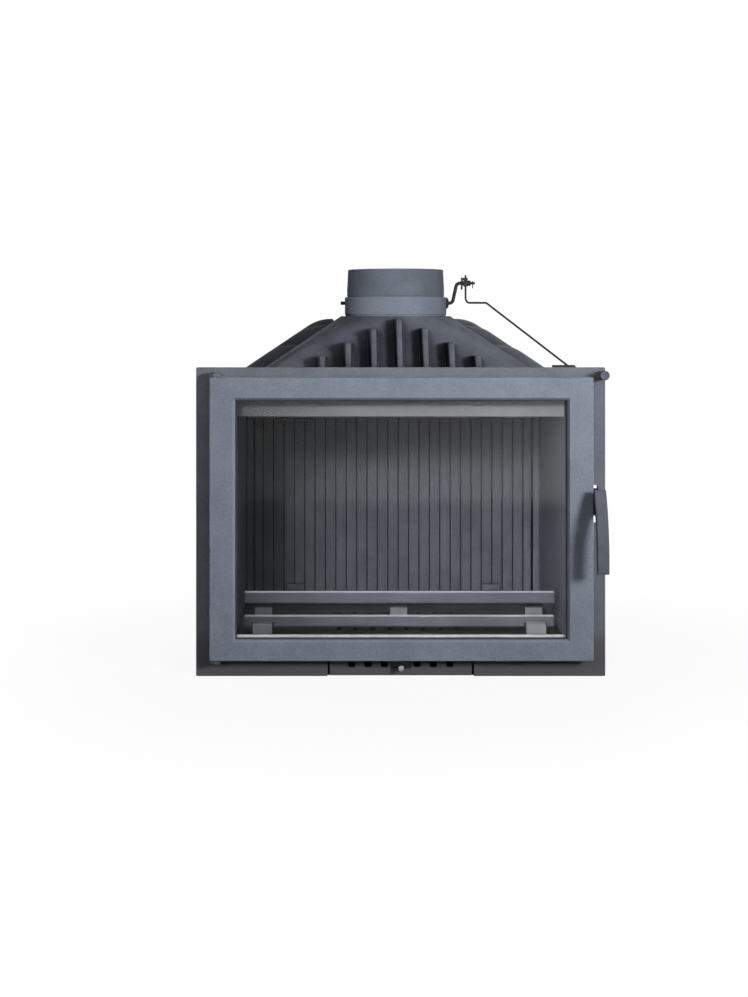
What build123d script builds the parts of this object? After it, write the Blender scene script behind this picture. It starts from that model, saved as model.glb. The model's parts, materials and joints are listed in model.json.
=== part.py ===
from build123d import *
import math
import os

os.makedirs("parts", exist_ok=True)

# Cast-iron fireplace insert with a hinged glass door, a damper in its flue collar and an ash
# drawer. Millimetres, +X to the right, +Y to the back, +Z up. The origin lies on the underside
# of the base plate, straight below the flue axis.

# ---------------------------------------------------------------- driving dimensions
FRAME_W, FRAME_H, FRAME_T = 700.0, 528.0, 8.0
FRONT = -220.0                      # Y of the frame's front face
BODY_W, BODY_DEPTH = 600.0, 400.0   # outside the side walls, frame face to back wall
WALL = 7.0
WALL_TOP = 476.0
BASE_T = 4.0
FLOOR_Z, FLOOR_T = 59.0, 10.0

DOOR_X = 325.0                      # half width
DOOR_Z = (32.0, 512.0)
DOOR_FACE, DOOR_BACK = -30.0, -4.0  # depths behind the frame's face, so in front of it
SIGHT_X, SIGHT_Z = 281.5, (68.0, 474.0)
GLASS_T = 4.0
HINGE_X, HINGE_DEPTH, HINGE_R = -316.0, -16.0, 4.0

FLUE_R, COLLAR_R, COLLAR_BORE = 89.8, 94.0, 86.0
HOOD_FOOT, HOOD_TOP = 482.0, 616.0
HOOD_TOP_R = 101.0
COLLAR_TOP, SPIGOT_TOP = 651.0, 701.5
DAMPER_Z, DAMPER_R, AXLE_R = 640.0, 80.0, 3.25
CRANK_Z, CRANK_R = 677.0, 3.2

PULL_X, PULL_Z, PULL_R = 344.8, 515.0, 2.5
HANDLE_DEPTH, HANDLE_Z = -15.0, 304.0
SLOT_X, SLOT_Z = (326.0, 338.0), (262.0, 327.0)

DRAWER_X, DRAWER_Z = 121.5, (1.5, 30.5)
DRAWER_GAP = 3.8
SHUTTER_PITCH = 28.0
LINER_X, LINER_DEPTH, LINER_TOP = 284.0, 340.0, 440.0
GROOVE_PITCH, GROOVE_COUNT = 20.1, 26
GRATE_X, GRATE_DEPTH, GRATE_TOP = 138.5, (86.7, 281.0), 58.5
GUARD_X, GUARD_DEPTH = 271.0, (56.0, 70.0)
RUNNING = 0.06                      # radial clearance of a turning or sliding fit


# ---------------------------------------------------------------- helpers
def slab(x, y, z, mode=Mode.ADD):
    """A box given by its ranges along X, Y and Z."""
    with Locations((sum(x) / 2, sum(y) / 2, sum(z) / 2)):
        Box(x[1] - x[0], y[1] - y[0], z[1] - z[0], mode=mode)


def behind(*depths):
    """Y of each depth behind the frame's front face."""
    return tuple(FRONT + depth for depth in depths)


def front_plane(depth):
    """A sketch plane at a depth behind the frame's face, with its normal towards the room."""
    return Plane.XZ.offset(-(FRONT + depth))


def side_plane(x):
    """A sketch plane at X, with Y across and Z up."""
    return Plane.YZ.offset(x)


def rod(start, end, radius, mode=Mode.ADD):
    """A round bar between two points."""
    direction = Vector(*end) - Vector(*start)
    with BuildSketch(Plane(origin=start, z_dir=direction)) as section:
        Circle(radius)
    extrude(section.sketch, amount=direction.length, mode=mode)


def hex_head(start, end, radius):
    """A hexagonal bolt head or nut between two points."""
    direction = Vector(*end) - Vector(*start)
    with BuildSketch(Plane(origin=start, z_dir=direction)) as section:
        RegularPolygon(radius, 6)
    extrude(section.sketch, amount=direction.length)


def both_sides(x):
    """The same range of X on the left and on the right."""
    return ((-x[1], -x[0]), x)


# ---------------------------------------------------------------- front frame and hinges
WINDOW_X, WINDOW_Z = 292.0, (FLOOR_Z, 478.0)
BRACKET_Z = (80.0, 430.0)
BRACKET_T, BRACKET_H = 5.0, 40.0
BOLT_R, BOLT_HEAD, BOLT_HEAD_T = 4.0, 6.5, 5.0
BOLT_SINK = 5.0                     # the frame's blind bolt holes
BOLT_HOLE_R = BOLT_R + 0.1
FRAME_BOLT_X = 318.0
WALL_BOLT_DEPTH = 26.0

with BuildPart() as front_frame:
    with BuildSketch(front_plane(FRAME_T)):
        with Locations((0, FRAME_H / 2)):
            RectangleRounded(FRAME_W, FRAME_H, 2.2)
        with Locations((0, sum(WINDOW_Z) / 2)):
            Rectangle(2 * WINDOW_X, WINDOW_Z[1] - WINDOW_Z[0], mode=Mode.SUBTRACT)
        with Locations((0, 0)):
            Rectangle(2 * (DRAWER_X + DRAWER_GAP), 2 * (DRAWER_Z[1] + 0.8), mode=Mode.SUBTRACT)
        with Locations((sum(SLOT_X) / 2, sum(SLOT_Z) / 2)):
            SlotOverall(SLOT_Z[1] - SLOT_Z[0], SLOT_X[1] - SLOT_X[0], rotation=90, mode=Mode.SUBTRACT)
        with Locations((PULL_X, PULL_Z)):
            Circle(PULL_R + RUNNING, mode=Mode.SUBTRACT)
    extrude(amount=FRAME_T)
    fillet(front_frame.faces().sort_by(Axis.Y)[0].outer_wire().edges(), 1.2)
    for z in BRACKET_Z:
        for side in (-1, 1):
            deep, back = behind(FRAME_T - BOLT_SINK, FRAME_T)
            bolt_x = side * FRAME_BOLT_X
            rod((bolt_x, deep, z), (bolt_x, back, z), BOLT_HOLE_R, Mode.SUBTRACT)
front_frame.part.label = "front_frame"
export_step(front_frame.part, "parts/front_frame.step")

LUG_T = 4.8
LUG_BOTTOM_Z = DOOR_Z[0] - 0.8 - LUG_T
LUG_TOP_Z = DOOR_Z[1] + 0.8

with BuildPart() as hinge_lugs:
    for z in (LUG_BOTTOM_Z, LUG_TOP_Z):
        with BuildSketch(Plane.XY.offset(z)):
            with Locations((HINGE_X, FRONT + HINGE_DEPTH)):
                Circle(10)
            with Locations((HINGE_X, FRONT + HINGE_DEPTH / 2)):
                Rectangle(20, -HINGE_DEPTH)
            with Locations((HINGE_X, FRONT + HINGE_DEPTH)):
                Circle(HINGE_R + 0.05, mode=Mode.SUBTRACT)
        extrude(amount=LUG_T)
hinge_lugs.part.label = "hinge_lugs"
export_step(hinge_lugs.part, "parts/hinge_lugs.step")

PIN_REACH = 22.0

with BuildPart() as hinge_pins:
    hinge_y = FRONT + HINGE_DEPTH
    head_z = LUG_TOP_Z + LUG_T
    rod((HINGE_X, hinge_y, DOOR_Z[1] - PIN_REACH), (HINGE_X, hinge_y, head_z), HINGE_R)
    rod((HINGE_X, hinge_y, head_z), (HINGE_X, hinge_y, head_z + 2.6), 6.5)
    rod((HINGE_X, hinge_y, LUG_BOTTOM_Z), (HINGE_X, hinge_y, DOOR_Z[0] + PIN_REACH), HINGE_R)
    rod((HINGE_X, hinge_y, LUG_BOTTOM_Z - 2.6), (HINGE_X, hinge_y, LUG_BOTTOM_Z), 6.5)
hinge_pins.part.label = "hinge_pins"
export_step(hinge_pins.part, "parts/hinge_pins.step")

# ---------------------------------------------------------------- casing
RIB_PITCH, RIB_T, RIB_PROUD = 45.0, 6.0, 12.0
BODY_X = BODY_W / 2

for side, name in ((-1, "side_wall_left"), (1, "side_wall_right")):
    with BuildPart() as side_wall:
        inner, outer = sorted((side * (BODY_X - WALL), side * BODY_X))
        slab((inner, outer), behind(FRAME_T, BODY_DEPTH - WALL), (BASE_T, WALL_TOP))
        proud = sorted((side * BODY_X, side * (BODY_X + RIB_PROUD)))
        for i in range(7):
            start = 70.0 + i * RIB_PITCH
            slab(proud, behind(start, start + RIB_T), (FLOOR_Z, WALL_TOP - 20))
        for z in BRACKET_Z:
            bolt_y = FRONT + WALL_BOLT_DEPTH
            rod((side * (BODY_X - WALL), bolt_y, z), (side * BODY_X, bolt_y, z), BOLT_HOLE_R, Mode.SUBTRACT)
    side_wall.part.label = name
    export_step(side_wall.part, f"parts/{name}.step")

with BuildPart() as back_wall:
    slab((-BODY_X, BODY_X), behind(BODY_DEPTH - WALL, BODY_DEPTH), (BASE_T, WALL_TOP))
    for i in range(-4, 5):
        middle = i * 60.0
        rib = (middle - RIB_T / 2, middle + RIB_T / 2)
        slab(rib, behind(BODY_DEPTH, BODY_DEPTH + RIB_PROUD), (FLOOR_Z, WALL_TOP - 20))
back_wall.part.label = "back_wall"
export_step(back_wall.part, "parts/back_wall.step")

with BuildPart() as base_plate:
    slab((-BODY_X, BODY_X), behind(FRAME_T, BODY_DEPTH), (0, BASE_T))
base_plate.part.label = "base_plate"
export_step(base_plate.part, "parts/base_plate.step")

TUNNEL_X, TUNNEL_T, TUNNEL_DEPTH = 124.5, 4.0, 330.0

with BuildPart() as drawer_tunnel:
    for x in both_sides((TUNNEL_X, TUNNEL_X + TUNNEL_T)):
        slab(x, behind(FRAME_T, TUNNEL_DEPTH), (BASE_T, FLOOR_Z - FLOOR_T))
    slab((-TUNNEL_X, TUNNEL_X), behind(TUNNEL_DEPTH - TUNNEL_T, TUNNEL_DEPTH), (BASE_T, FLOOR_Z - FLOOR_T))
drawer_tunnel.part.label = "drawer_tunnel"
export_step(drawer_tunnel.part, "parts/drawer_tunnel.step")

LUG_X = (222.5, 256.0)
GRATE_GAP = 1.0
LEDGE = 8.0
LEDGE_T = 3.2

with BuildPart() as hearth_floor:
    floor_x = BODY_X - WALL - 0.2
    slab((-floor_x, floor_x), behind(FRAME_T, BODY_DEPTH - WALL - 0.2), (FLOOR_Z - FLOOR_T, FLOOR_Z))
    recess_x = GRATE_X + GRATE_GAP
    recess_y = behind(GRATE_DEPTH[0] - GRATE_GAP, GRATE_DEPTH[1] + GRATE_GAP)
    slab((-recess_x, recess_x), recess_y, (FLOOR_Z - FLOOR_T + LEDGE_T, FLOOR_Z), Mode.SUBTRACT)
    throat_y = (recess_y[0] + LEDGE, recess_y[1] - LEDGE)
    slab((-recess_x + LEDGE, recess_x - LEDGE), throat_y, (FLOOR_Z - FLOOR_T, FLOOR_Z), Mode.SUBTRACT)
    for x in both_sides(LUG_X):
        slab(x, behind(52, 66), (FLOOR_Z, 77))
        slab(x, behind(58, 66), (77, 81))
hearth_floor.part.label = "hearth_floor"
export_step(hearth_floor.part, "parts/hearth_floor.step")

with BuildPart() as frame_brackets:
    for z in BRACKET_Z:
        for x_wall, x_frame in zip(
            both_sides((BODY_X, BODY_X + BRACKET_T)), both_sides((BODY_X, BODY_X + 30))
        ):
            height = (z - BRACKET_H / 2, z + BRACKET_H / 2)
            slab(x_wall, behind(FRAME_T, 40), height)
            slab(x_frame, behind(FRAME_T, FRAME_T + BRACKET_T), height)
        for side in (-1, 1):
            bolt_y = FRONT + WALL_BOLT_DEPTH
            seat = side * (BODY_X + BRACKET_T)
            rod((side * BODY_X, bolt_y, z), (seat, bolt_y, z), BOLT_HOLE_R, Mode.SUBTRACT)
            near, far = behind(FRAME_T, FRAME_T + BRACKET_T)
            bolt_x = side * FRAME_BOLT_X
            rod((bolt_x, near, z), (bolt_x, far, z), BOLT_HOLE_R, Mode.SUBTRACT)
frame_brackets.part.label = "frame_brackets"
export_step(frame_brackets.part, "parts/frame_brackets.step")

with BuildPart() as frame_bolts:
    for z in BRACKET_Z:
        for side in (-1, 1):
            bolt_y = FRONT + WALL_BOLT_DEPTH
            seat = side * (BODY_X + BRACKET_T)
            rod((side * (BODY_X - WALL), bolt_y, z), (seat, bolt_y, z), BOLT_R)
            hex_head((seat, bolt_y, z), (seat + side * BOLT_HEAD_T, bolt_y, z), BOLT_HEAD)
            seat_depth = FRAME_T + BRACKET_T
            tip, seat_y, crown = behind(FRAME_T - BOLT_SINK, seat_depth, seat_depth + BOLT_HEAD_T)
            bolt_x = side * FRAME_BOLT_X
            rod((bolt_x, tip, z), (bolt_x, seat_y, z), BOLT_R)
            hex_head((bolt_x, seat_y, z), (bolt_x, crown, z), BOLT_HEAD)
frame_bolts.part.label = "frame_bolts"
export_step(frame_bolts.part, "parts/frame_bolts.step")

# ---------------------------------------------------------------- hood and flue
HOOD_FRONT_Y = FRONT + FRAME_T
HOOD_REAR_Y = FRONT + BODY_DEPTH
HOOD_CORNER = 27.0
HOOD_WALL = 6.0
RIDGE_HALF = 17.0                   # half width of the faces where they reach the collar
FIN_PITCH, FIN_EDGE, FIN_ROOT, FIN_PROUD = 45.0, 10.0, 19.0, 20.0
FIN_LIP_R = 3.5
REAR_FIN_PROUD = 12.0
FRONT_FIN_TOPS = (611.0, 594.0, 570.0, 547.0)
SIDE_FIN_TOPS = (562.0, 598.0, 611.0)
CROWN_R, SIDE_CROWN_R = 8.0, 80.0
JOINT_GAP = 1.0


def hood_foot_outline(inset):
    """Rounded rectangle at the hood's foot, as eight edges from the front left corner."""
    x, front, rear = BODY_X - inset, HOOD_FRONT_Y + inset, HOOD_REAR_Y - inset
    r = HOOD_CORNER - inset
    bow = r * (1 - math.sqrt(0.5))
    with BuildLine() as outline:
        Line((-x + r, front), (x - r, front))
        ThreePointArc((x - r, front), (x - bow, front + bow), (x, front + r))
        Line((x, front + r), (x, rear - r))
        ThreePointArc((x, rear - r), (x - bow, rear - bow), (x - r, rear))
        Line((x - r, rear), (-x + r, rear))
        ThreePointArc((-x + r, rear), (-x + bow, rear - bow), (-x, rear - r))
        Line((-x, rear - r), (-x, front + r))
        ThreePointArc((-x, front + r), (-x + bow, front + bow), (-x + r, front))
    make_face(outline.edges())


def hood_top_outline(radius):
    """Circle at the hood's top, cut into eight arcs that meet the foot's eight edges."""
    half = math.degrees(math.asin(RIDGE_HALF / HOOD_TOP_R))
    stops = [-90 - half, -90 + half, -half, half, 90 - half, 90 + half, 180 - half, 180 + half]
    with BuildLine() as outline:
        for start, stop in zip(stops, stops[1:] + [270 - half]):
            points = [Vector(radius, 0).rotate(Axis.Z, a) for a in (start, (start + stop) / 2, stop)]
            ThreePointArc(*points)
    make_face(outline.edges())


def hood_body(inset, top_radius, mode=Mode.ADD):
    """The hood's pyramid, from a rounded rectangle up to a circle."""
    with BuildSketch(Plane.XY.offset(HOOD_FOOT)) as foot:
        hood_foot_outline(inset)
    with BuildSketch(Plane.XY.offset(HOOD_TOP)) as top:
        hood_top_outline(top_radius)
    loft(sections=[foot.sketch.faces()[0], top.sketch.faces()[0]], ruled=True, mode=mode)


def slope_fin(foot, inward, rise, top_z, proud, crown_r):
    """A drafted rib up a sloping face, cut level at the top and plumb at the foot."""
    along = (inward * math.cos(rise) + Vector(0, 0, 1) * math.sin(rise)).normalized()
    outward = (inward * -math.sin(rise) + Vector(0, 0, 1) * math.cos(rise)).normalized()
    root, edge = FIN_ROOT / 2, FIN_EDGE / 2
    with BuildPart() as fin:
        with BuildSketch(Plane(origin=foot - along * 16, x_dir=outward.cross(along), z_dir=along)):
            with BuildLine():
                Polyline((-root, -3), (-edge, proud), (edge, proud), (root, -3), close=True)
            make_face()
        extrude(amount=240)
        split(bisect_by=Plane.XY.offset(top_z), keep=Keep.BOTTOM)
        split(bisect_by=Plane.XY.offset(HOOD_FOOT - 6), keep=Keep.TOP)
        split(bisect_by=Plane(origin=foot, z_dir=inward), keep=Keep.TOP)
        crown = fin.faces().sort_by(Axis.Z)[-1]
        shoulder = crown.edges().sort_by(lambda e: e.center().dot(inward))[0]
        fillet(shoulder, crown_r)
        long_edges = fin.edges().filter_by(lambda e: e.length > 30)
        fillet(long_edges.sort_by(lambda e: (e.center() - foot).dot(outward))[-2:], FIN_LIP_R)
    return fin.part


front_rise = math.atan2(HOOD_TOP - HOOD_FOOT, -HOOD_TOP_R - HOOD_FRONT_Y)
side_rise = math.atan2(HOOD_TOP - HOOD_FOOT, BODY_X - HOOD_TOP_R)
rear_rise = math.atan2(HOOD_TOP - HOOD_FOOT, HOOD_REAR_Y - HOOD_TOP_R)
RIM_INSET = 8.0

with BuildPart() as hood_front:
    hood_body(0, HOOD_TOP_R)
    with BuildSketch(Plane.XY.offset(WALL_TOP)):
        hood_foot_outline(0)
    extrude(amount=HOOD_FOOT - WALL_TOP)
    for i in range(-3, 4):
        foot = Vector(i * FIN_PITCH, HOOD_FRONT_Y, HOOD_FOOT)
        add(slope_fin(foot, Vector(0, 1, 0), front_rise, FRONT_FIN_TOPS[abs(i)], FIN_PROUD, CROWN_R))
    hood_body(HOOD_WALL, COLLAR_BORE, Mode.SUBTRACT)
    with BuildSketch(Plane.XY.offset(WALL_TOP)):
        hood_foot_outline(RIM_INSET)
    extrude(amount=HOOD_FOOT - WALL_TOP, mode=Mode.SUBTRACT)
    split(bisect_by=Plane.XZ.offset(JOINT_GAP), keep=Keep.TOP)
hood_front.part.label = "hood_front"
export_step(hood_front.part, "parts/hood_front.step")

with BuildPart() as hood_rear:
    hood_body(0, HOOD_TOP_R)
    with BuildSketch(Plane.XY.offset(WALL_TOP)):
        hood_foot_outline(0)
    extrude(amount=HOOD_FOOT - WALL_TOP)
    for i, top_z in enumerate(SIDE_FIN_TOPS):
        foot = Vector(BODY_X, 22 + i * FIN_PITCH, HOOD_FOOT)
        side_fin = slope_fin(foot, Vector(-1, 0, 0), side_rise, top_z, FIN_PROUD, SIDE_CROWN_R)
        add(side_fin)
        add(mirror(side_fin, about=Plane.YZ, mode=Mode.PRIVATE))
    for i in range(-3, 4):
        foot = Vector(i * FIN_PITCH, HOOD_REAR_Y, HOOD_FOOT)
        add(slope_fin(foot, Vector(0, -1, 0), rear_rise, FRONT_FIN_TOPS[abs(i)], REAR_FIN_PROUD, CROWN_R))
    hood_body(HOOD_WALL, COLLAR_BORE, Mode.SUBTRACT)
    with BuildSketch(Plane.XY.offset(WALL_TOP)):
        hood_foot_outline(RIM_INSET)
    extrude(amount=HOOD_FOOT - WALL_TOP, mode=Mode.SUBTRACT)
    split(bisect_by=Plane.XZ.offset(-JOINT_GAP), keep=Keep.BOTTOM)
hood_rear.part.label = "hood_rear"
export_step(hood_rear.part, "parts/hood_rear.step")

with BuildPart() as hood_seal:
    hood_body(1.5, HOOD_TOP_R - 1.5)
    hood_body(HOOD_WALL, COLLAR_BORE, Mode.SUBTRACT)
    split(bisect_by=Plane.XZ.offset(JOINT_GAP), keep=Keep.BOTTOM)
    split(bisect_by=Plane.XZ.offset(-JOINT_GAP), keep=Keep.TOP)
hood_seal.part.label = "hood_seal"
export_step(hood_seal.part, "parts/hood_seal.step")

AXLE_HOLE = AXLE_R + RUNNING
SPIGOT_BORE, SPIGOT_RIM = 83.5, 88.0

with BuildPart() as flue_collar:
    with BuildSketch(Plane.XZ):
        with BuildLine():
            Polyline(
                (COLLAR_BORE, HOOD_TOP), (COLLAR_R - 1.5, HOOD_TOP), (COLLAR_R - 1.5, HOOD_TOP + 1.5),
                (COLLAR_R, HOOD_TOP + 3), (COLLAR_R, COLLAR_TOP - 1.5), (COLLAR_R - 1.5, COLLAR_TOP),
                (COLLAR_BORE, COLLAR_TOP), close=True,
            )
        make_face()
    revolve(axis=Axis.Z)
    for side in (-1, 1):
        rod((side * 80, 0, DAMPER_Z), (side * 100, 0, DAMPER_Z), AXLE_HOLE, Mode.SUBTRACT)
flue_collar.part.label = "flue_collar"
export_step(flue_collar.part, "parts/flue_collar.step")

with BuildPart() as flue_spigot:
    with BuildSketch(Plane.XZ):
        with BuildLine():
            Polyline(
                (SPIGOT_BORE, COLLAR_TOP - 5), (COLLAR_BORE - 0.2, COLLAR_TOP - 5),
                (COLLAR_BORE - 0.2, COLLAR_TOP), (FLUE_R - 1, COLLAR_TOP),
                (FLUE_R - 1, COLLAR_TOP + 1.5), (FLUE_R, COLLAR_TOP + 1.5),
                (FLUE_R, COLLAR_TOP + 14), (SPIGOT_RIM, SPIGOT_TOP), (SPIGOT_BORE, SPIGOT_TOP), close=True,
            )
        make_face()
    revolve(axis=Axis.Z)
    fillet(flue_spigot.faces().sort_by(Axis.Z)[-1].edges(), 1.2)
flue_spigot.part.label = "flue_spigot"
export_step(flue_spigot.part, "parts/flue_spigot.step")

# ---------------------------------------------------------------- damper
AXLE_LEFT, AXLE_RIGHT = -102.0, 99.2
DISC_Z = DAMPER_Z + AXLE_R + 0.15
DISC_T = 3.0
SADDLE_X, SADDLE_HALF, SCREW_Y = 38.0, 7.0, 9.5

with BuildPart() as damper_axle:
    rod((AXLE_LEFT, 0, DAMPER_Z), (AXLE_RIGHT, 0, DAMPER_Z), AXLE_R)
    chamfer(damper_axle.edges().sort_by(Axis.X)[0], 0.8)
damper_axle.part.label = "damper_axle"
export_step(damper_axle.part, "parts/damper_axle.step")

with BuildPart() as damper_disc:
    with Locations((0, 0, DISC_Z + DISC_T / 2)):
        Cylinder(DAMPER_R, DISC_T)
    for x in (-SADDLE_X, SADDLE_X):
        for y in (-SCREW_Y, SCREW_Y):
            rod((x, y, DISC_Z), (x, y, DISC_Z + DISC_T), 2.1, Mode.SUBTRACT)
damper_disc.part.label = "damper_disc"
export_step(damper_disc.part, "parts/damper_disc.step")

with BuildPart() as damper_saddles:
    for x in (-SADDLE_X, SADDLE_X):
        slab((x - SADDLE_HALF, x + SADDLE_HALF), (-14, 14), (DAMPER_Z - 5.5, DISC_Z))
        rod((x - SADDLE_HALF, 0, DAMPER_Z), (x + SADDLE_HALF, 0, DAMPER_Z), AXLE_R + 0.1, Mode.SUBTRACT)
        for y in (-SCREW_Y, SCREW_Y):
            rod((x, y, DAMPER_Z - 5.5), (x, y, DISC_Z), 2.1, Mode.SUBTRACT)
damper_saddles.part.label = "damper_saddles"
export_step(damper_saddles.part, "parts/damper_saddles.step")

with BuildPart() as damper_screws:
    for x in (-SADDLE_X, SADDLE_X):
        for y in (-SCREW_Y, SCREW_Y):
            rod((x, y, DAMPER_Z - 7), (x, y, DISC_Z + DISC_T), 2)
            rod((x, y, DISC_Z + DISC_T), (x, y, DISC_Z + DISC_T + 2), 3.8)
damper_screws.part.label = "damper_screws"
export_step(damper_screws.part, "parts/damper_screws.step")

with BuildPart() as damper_washer:
    with BuildSketch(Plane.XZ.offset(0)):
        with BuildLine():
            ThreePointArc((94.6, DAMPER_Z + 11), (97.4, DAMPER_Z + 8.2), (98.6, DAMPER_Z + AXLE_R + 0.3))
            Line((98.6, DAMPER_Z + AXLE_R + 0.3), (96.6, DAMPER_Z + AXLE_R + 0.3))
            ThreePointArc((96.6, DAMPER_Z + AXLE_R + 0.3), (95.8, DAMPER_Z + 7.6), (94.6, DAMPER_Z + 11))
        make_face()
    revolve(axis=Axis((0, 0, DAMPER_Z), (1, 0, 0)))
damper_washer.part.label = "damper_washer"
export_step(damper_washer.part, "parts/damper_washer.step")

CRANK_X = (105.5, 113.5)             # the foot and the head of the leaning middle part
TAB_X = (121.5, 124.0)

with BuildPart() as damper_crank:
    with BuildLine() as crank_path:
        FilletPolyline(
            (AXLE_RIGHT, 0, DAMPER_Z), (CRANK_X[0], 0, DAMPER_Z),
            (CRANK_X[1], 0, CRANK_Z), (124.3, 0, CRANK_Z),
            radius=[7.5, 7.5],
        )
    with BuildSketch(Plane(origin=crank_path.line @ 0, z_dir=crank_path.line % 0)):
        Circle(CRANK_R)
    sweep()
    rod((124.3, 0, CRANK_Z), (125.6, 0, CRANK_Z), 4.2)
damper_crank.part.label = "damper_crank"
export_step(damper_crank.part, "parts/damper_crank.step")

LINK_X, LINK_R = 129.9, 1.8
CLAMP_X = (126.4, 133.4)
CLAMP_Z = (665.0, 687.0)
CLAMP_SLOT = (LINK_R + 0.4, LINK_R + 2.5)

with BuildPart() as crank_clamp:
    with BuildSketch(side_plane(TAB_X[0])):
        with Locations((0, sum(CLAMP_Z) / 2)):
            RectangleRounded(12, CLAMP_Z[1] - CLAMP_Z[0], 4)
    extrude(amount=TAB_X[1] - TAB_X[0])
    slab((TAB_X[0], CLAMP_X[1]), (-6, 6), (CLAMP_Z[1] - 4, CLAMP_Z[1]))
    slab(CLAMP_X, (-7, 7), (CRANK_Z - 6, CLAMP_Z[1]))
    fillet(crank_clamp.edges().filter_by(Axis.Z).sort_by(Axis.X)[-2:], 1.5)
    rod((TAB_X[0], 0, CRANK_Z), (TAB_X[1], 0, CRANK_Z), CRANK_R + RUNNING, Mode.SUBTRACT)
    slot_x = (LINK_X - CLAMP_SLOT[0], LINK_X + CLAMP_SLOT[0])
    slab(slot_x, (-CLAMP_SLOT[1], CLAMP_SLOT[1]), (CRANK_Z - 6, CLAMP_Z[1]), Mode.SUBTRACT)
crank_clamp.part.label = "crank_clamp"
export_step(crank_clamp.part, "parts/crank_clamp.step")

with BuildPart() as clamp_screw:
    rod((CLAMP_X[1], 0, CRANK_Z), (147, 0, CRANK_Z), 2.5)
    hex_head((CLAMP_X[1] + 0.6, 0, CRANK_Z), (139, 0, CRANK_Z), 5)
    rod((143, 0, CRANK_Z - 9.5), (143, 0, CRANK_Z + 4), 0.9)
clamp_screw.part.label = "clamp_screw"
export_step(clamp_screw.part, "parts/clamp_screw.step")

# ---------------------------------------------------------------- damper pull
STRIP_DEPTH = (48.0, 51.0)
LINK_END = (303.8, 523.0)

with BuildPart() as link_rod:
    with BuildLine() as link_path:
        FilletPolyline(
            (LINK_X, 0, 692), (LINK_X, 0, 640.6), (165, -30, 640.3), (LINK_END[0], FRONT + 70, LINK_END[1]),
            (LINK_END[0], FRONT + STRIP_DEPTH[0] - 4, LINK_END[1]),
            radius=[9, 9, 9],
        )
    with BuildSketch(Plane(origin=link_path.line @ 0, z_dir=link_path.line % 0)):
        Circle(LINK_R)
    sweep()
    near, far = behind(STRIP_DEPTH[0] - 4, STRIP_DEPTH[0] - 1)
    rod((LINK_END[0], near, LINK_END[1]), (LINK_END[0], far, LINK_END[1]), 3.4)
link_rod.part.label = "link_rod"
export_step(link_rod.part, "parts/link_rod.step")

with BuildPart() as cross_strip:
    slab((266, 349.8), behind(*STRIP_DEPTH), (507, 520))
    slab((266, 312), behind(*STRIP_DEPTH), (520, 530.6))
    fillet(cross_strip.edges().filter_by(Axis.Y).sort_by(Axis.X)[-2:], 4)
    tip_corner = cross_strip.edges().filter_by(Axis.Y).group_by(Axis.Z)[-1].sort_by(Axis.X)[-1]
    chamfer(tip_corner, 7.5)
    near, far = behind(*STRIP_DEPTH)
    rod((LINK_END[0], near, LINK_END[1]), (LINK_END[0], far, LINK_END[1]), LINK_R + 0.1, Mode.SUBTRACT)
    rod((PULL_X, near, PULL_Z), (PULL_X, far, PULL_Z), PULL_R + 0.05, Mode.SUBTRACT)
cross_strip.part.label = "cross_strip"
export_step(cross_strip.part, "parts/cross_strip.step")

KNOB_R, KNOB_DEPTH = 8.2, (-27.0, -7.0)
BUSH_R = 5.0
KNOB_BORE = 14.0

with BuildPart() as pull_rod:
    near, far = behind(KNOB_DEPTH[1] - KNOB_BORE + 0.5, STRIP_DEPTH[1] + 4)
    rod((PULL_X, near, PULL_Z), (PULL_X, far, PULL_Z), PULL_R)
    chamfer(pull_rod.edges().sort_by(Axis.Y)[-1], 0.8)
pull_rod.part.label = "pull_rod"
export_step(pull_rod.part, "parts/pull_rod.step")

with BuildPart() as pull_knob:
    near, seat, far = behind(KNOB_DEPTH[0], KNOB_DEPTH[1] - KNOB_BORE, KNOB_DEPTH[1])
    rod((PULL_X, near, PULL_Z), (PULL_X, far, PULL_Z), KNOB_R)
    fillet(pull_knob.edges(), 1.2)
    rod((PULL_X, seat, PULL_Z), (PULL_X, far, PULL_Z), PULL_R + 0.05, Mode.SUBTRACT)
pull_knob.part.label = "pull_knob"
export_step(pull_knob.part, "parts/pull_knob.step")

with BuildPart() as pull_rod_bush:
    near, far = behind(FRAME_T, FRAME_T + 5)
    rod((PULL_X, near, PULL_Z), (PULL_X, far, PULL_Z), BUSH_R)
    rod((PULL_X, near, PULL_Z), (PULL_X, far, PULL_Z), PULL_R + RUNNING, Mode.SUBTRACT)
pull_rod_bush.part.label = "pull_rod_bush"
export_step(pull_rod_bush.part, "parts/pull_rod_bush.step")

# ---------------------------------------------------------------- firebox lining
PLATE_X, PLATE_T = 266.0, 12.0
GROOVE_W, GROOVE_D = 3.0, 5.0
STEP_W, STEP_D = 5.0, 1.0

with BuildPart() as back_liner:
    with BuildSketch(Plane.XY.offset(FLOOR_Z + 0.3)):
        with Locations((0, FRONT + LINER_DEPTH + PLATE_T / 2)):
            Rectangle(2 * PLATE_X, PLATE_T)
        for i in range(GROOVE_COUNT):
            middle = (i - (GROOVE_COUNT - 1) / 2) * GROOVE_PITCH
            with Locations((middle, FRONT + LINER_DEPTH)):
                Rectangle(GROOVE_W, 2 * GROOVE_D, mode=Mode.SUBTRACT)
            with Locations((middle - (GROOVE_W + STEP_W) / 2, FRONT + LINER_DEPTH)):
                Rectangle(STEP_W, 2 * STEP_D, mode=Mode.SUBTRACT)
    extrude(amount=LINER_TOP - FLOOR_Z - 0.3)
back_liner.part.label = "back_liner"
export_step(back_liner.part, "parts/back_liner.step")

SIDE_LINER_T = 6.0
RETURN_X, RETURN_DEPTH = 270.5, (336.0, 342.0)
PEG_R, PEG_DEPTH, PEG_Z = 5.0, 170.0, 454.0

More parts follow.
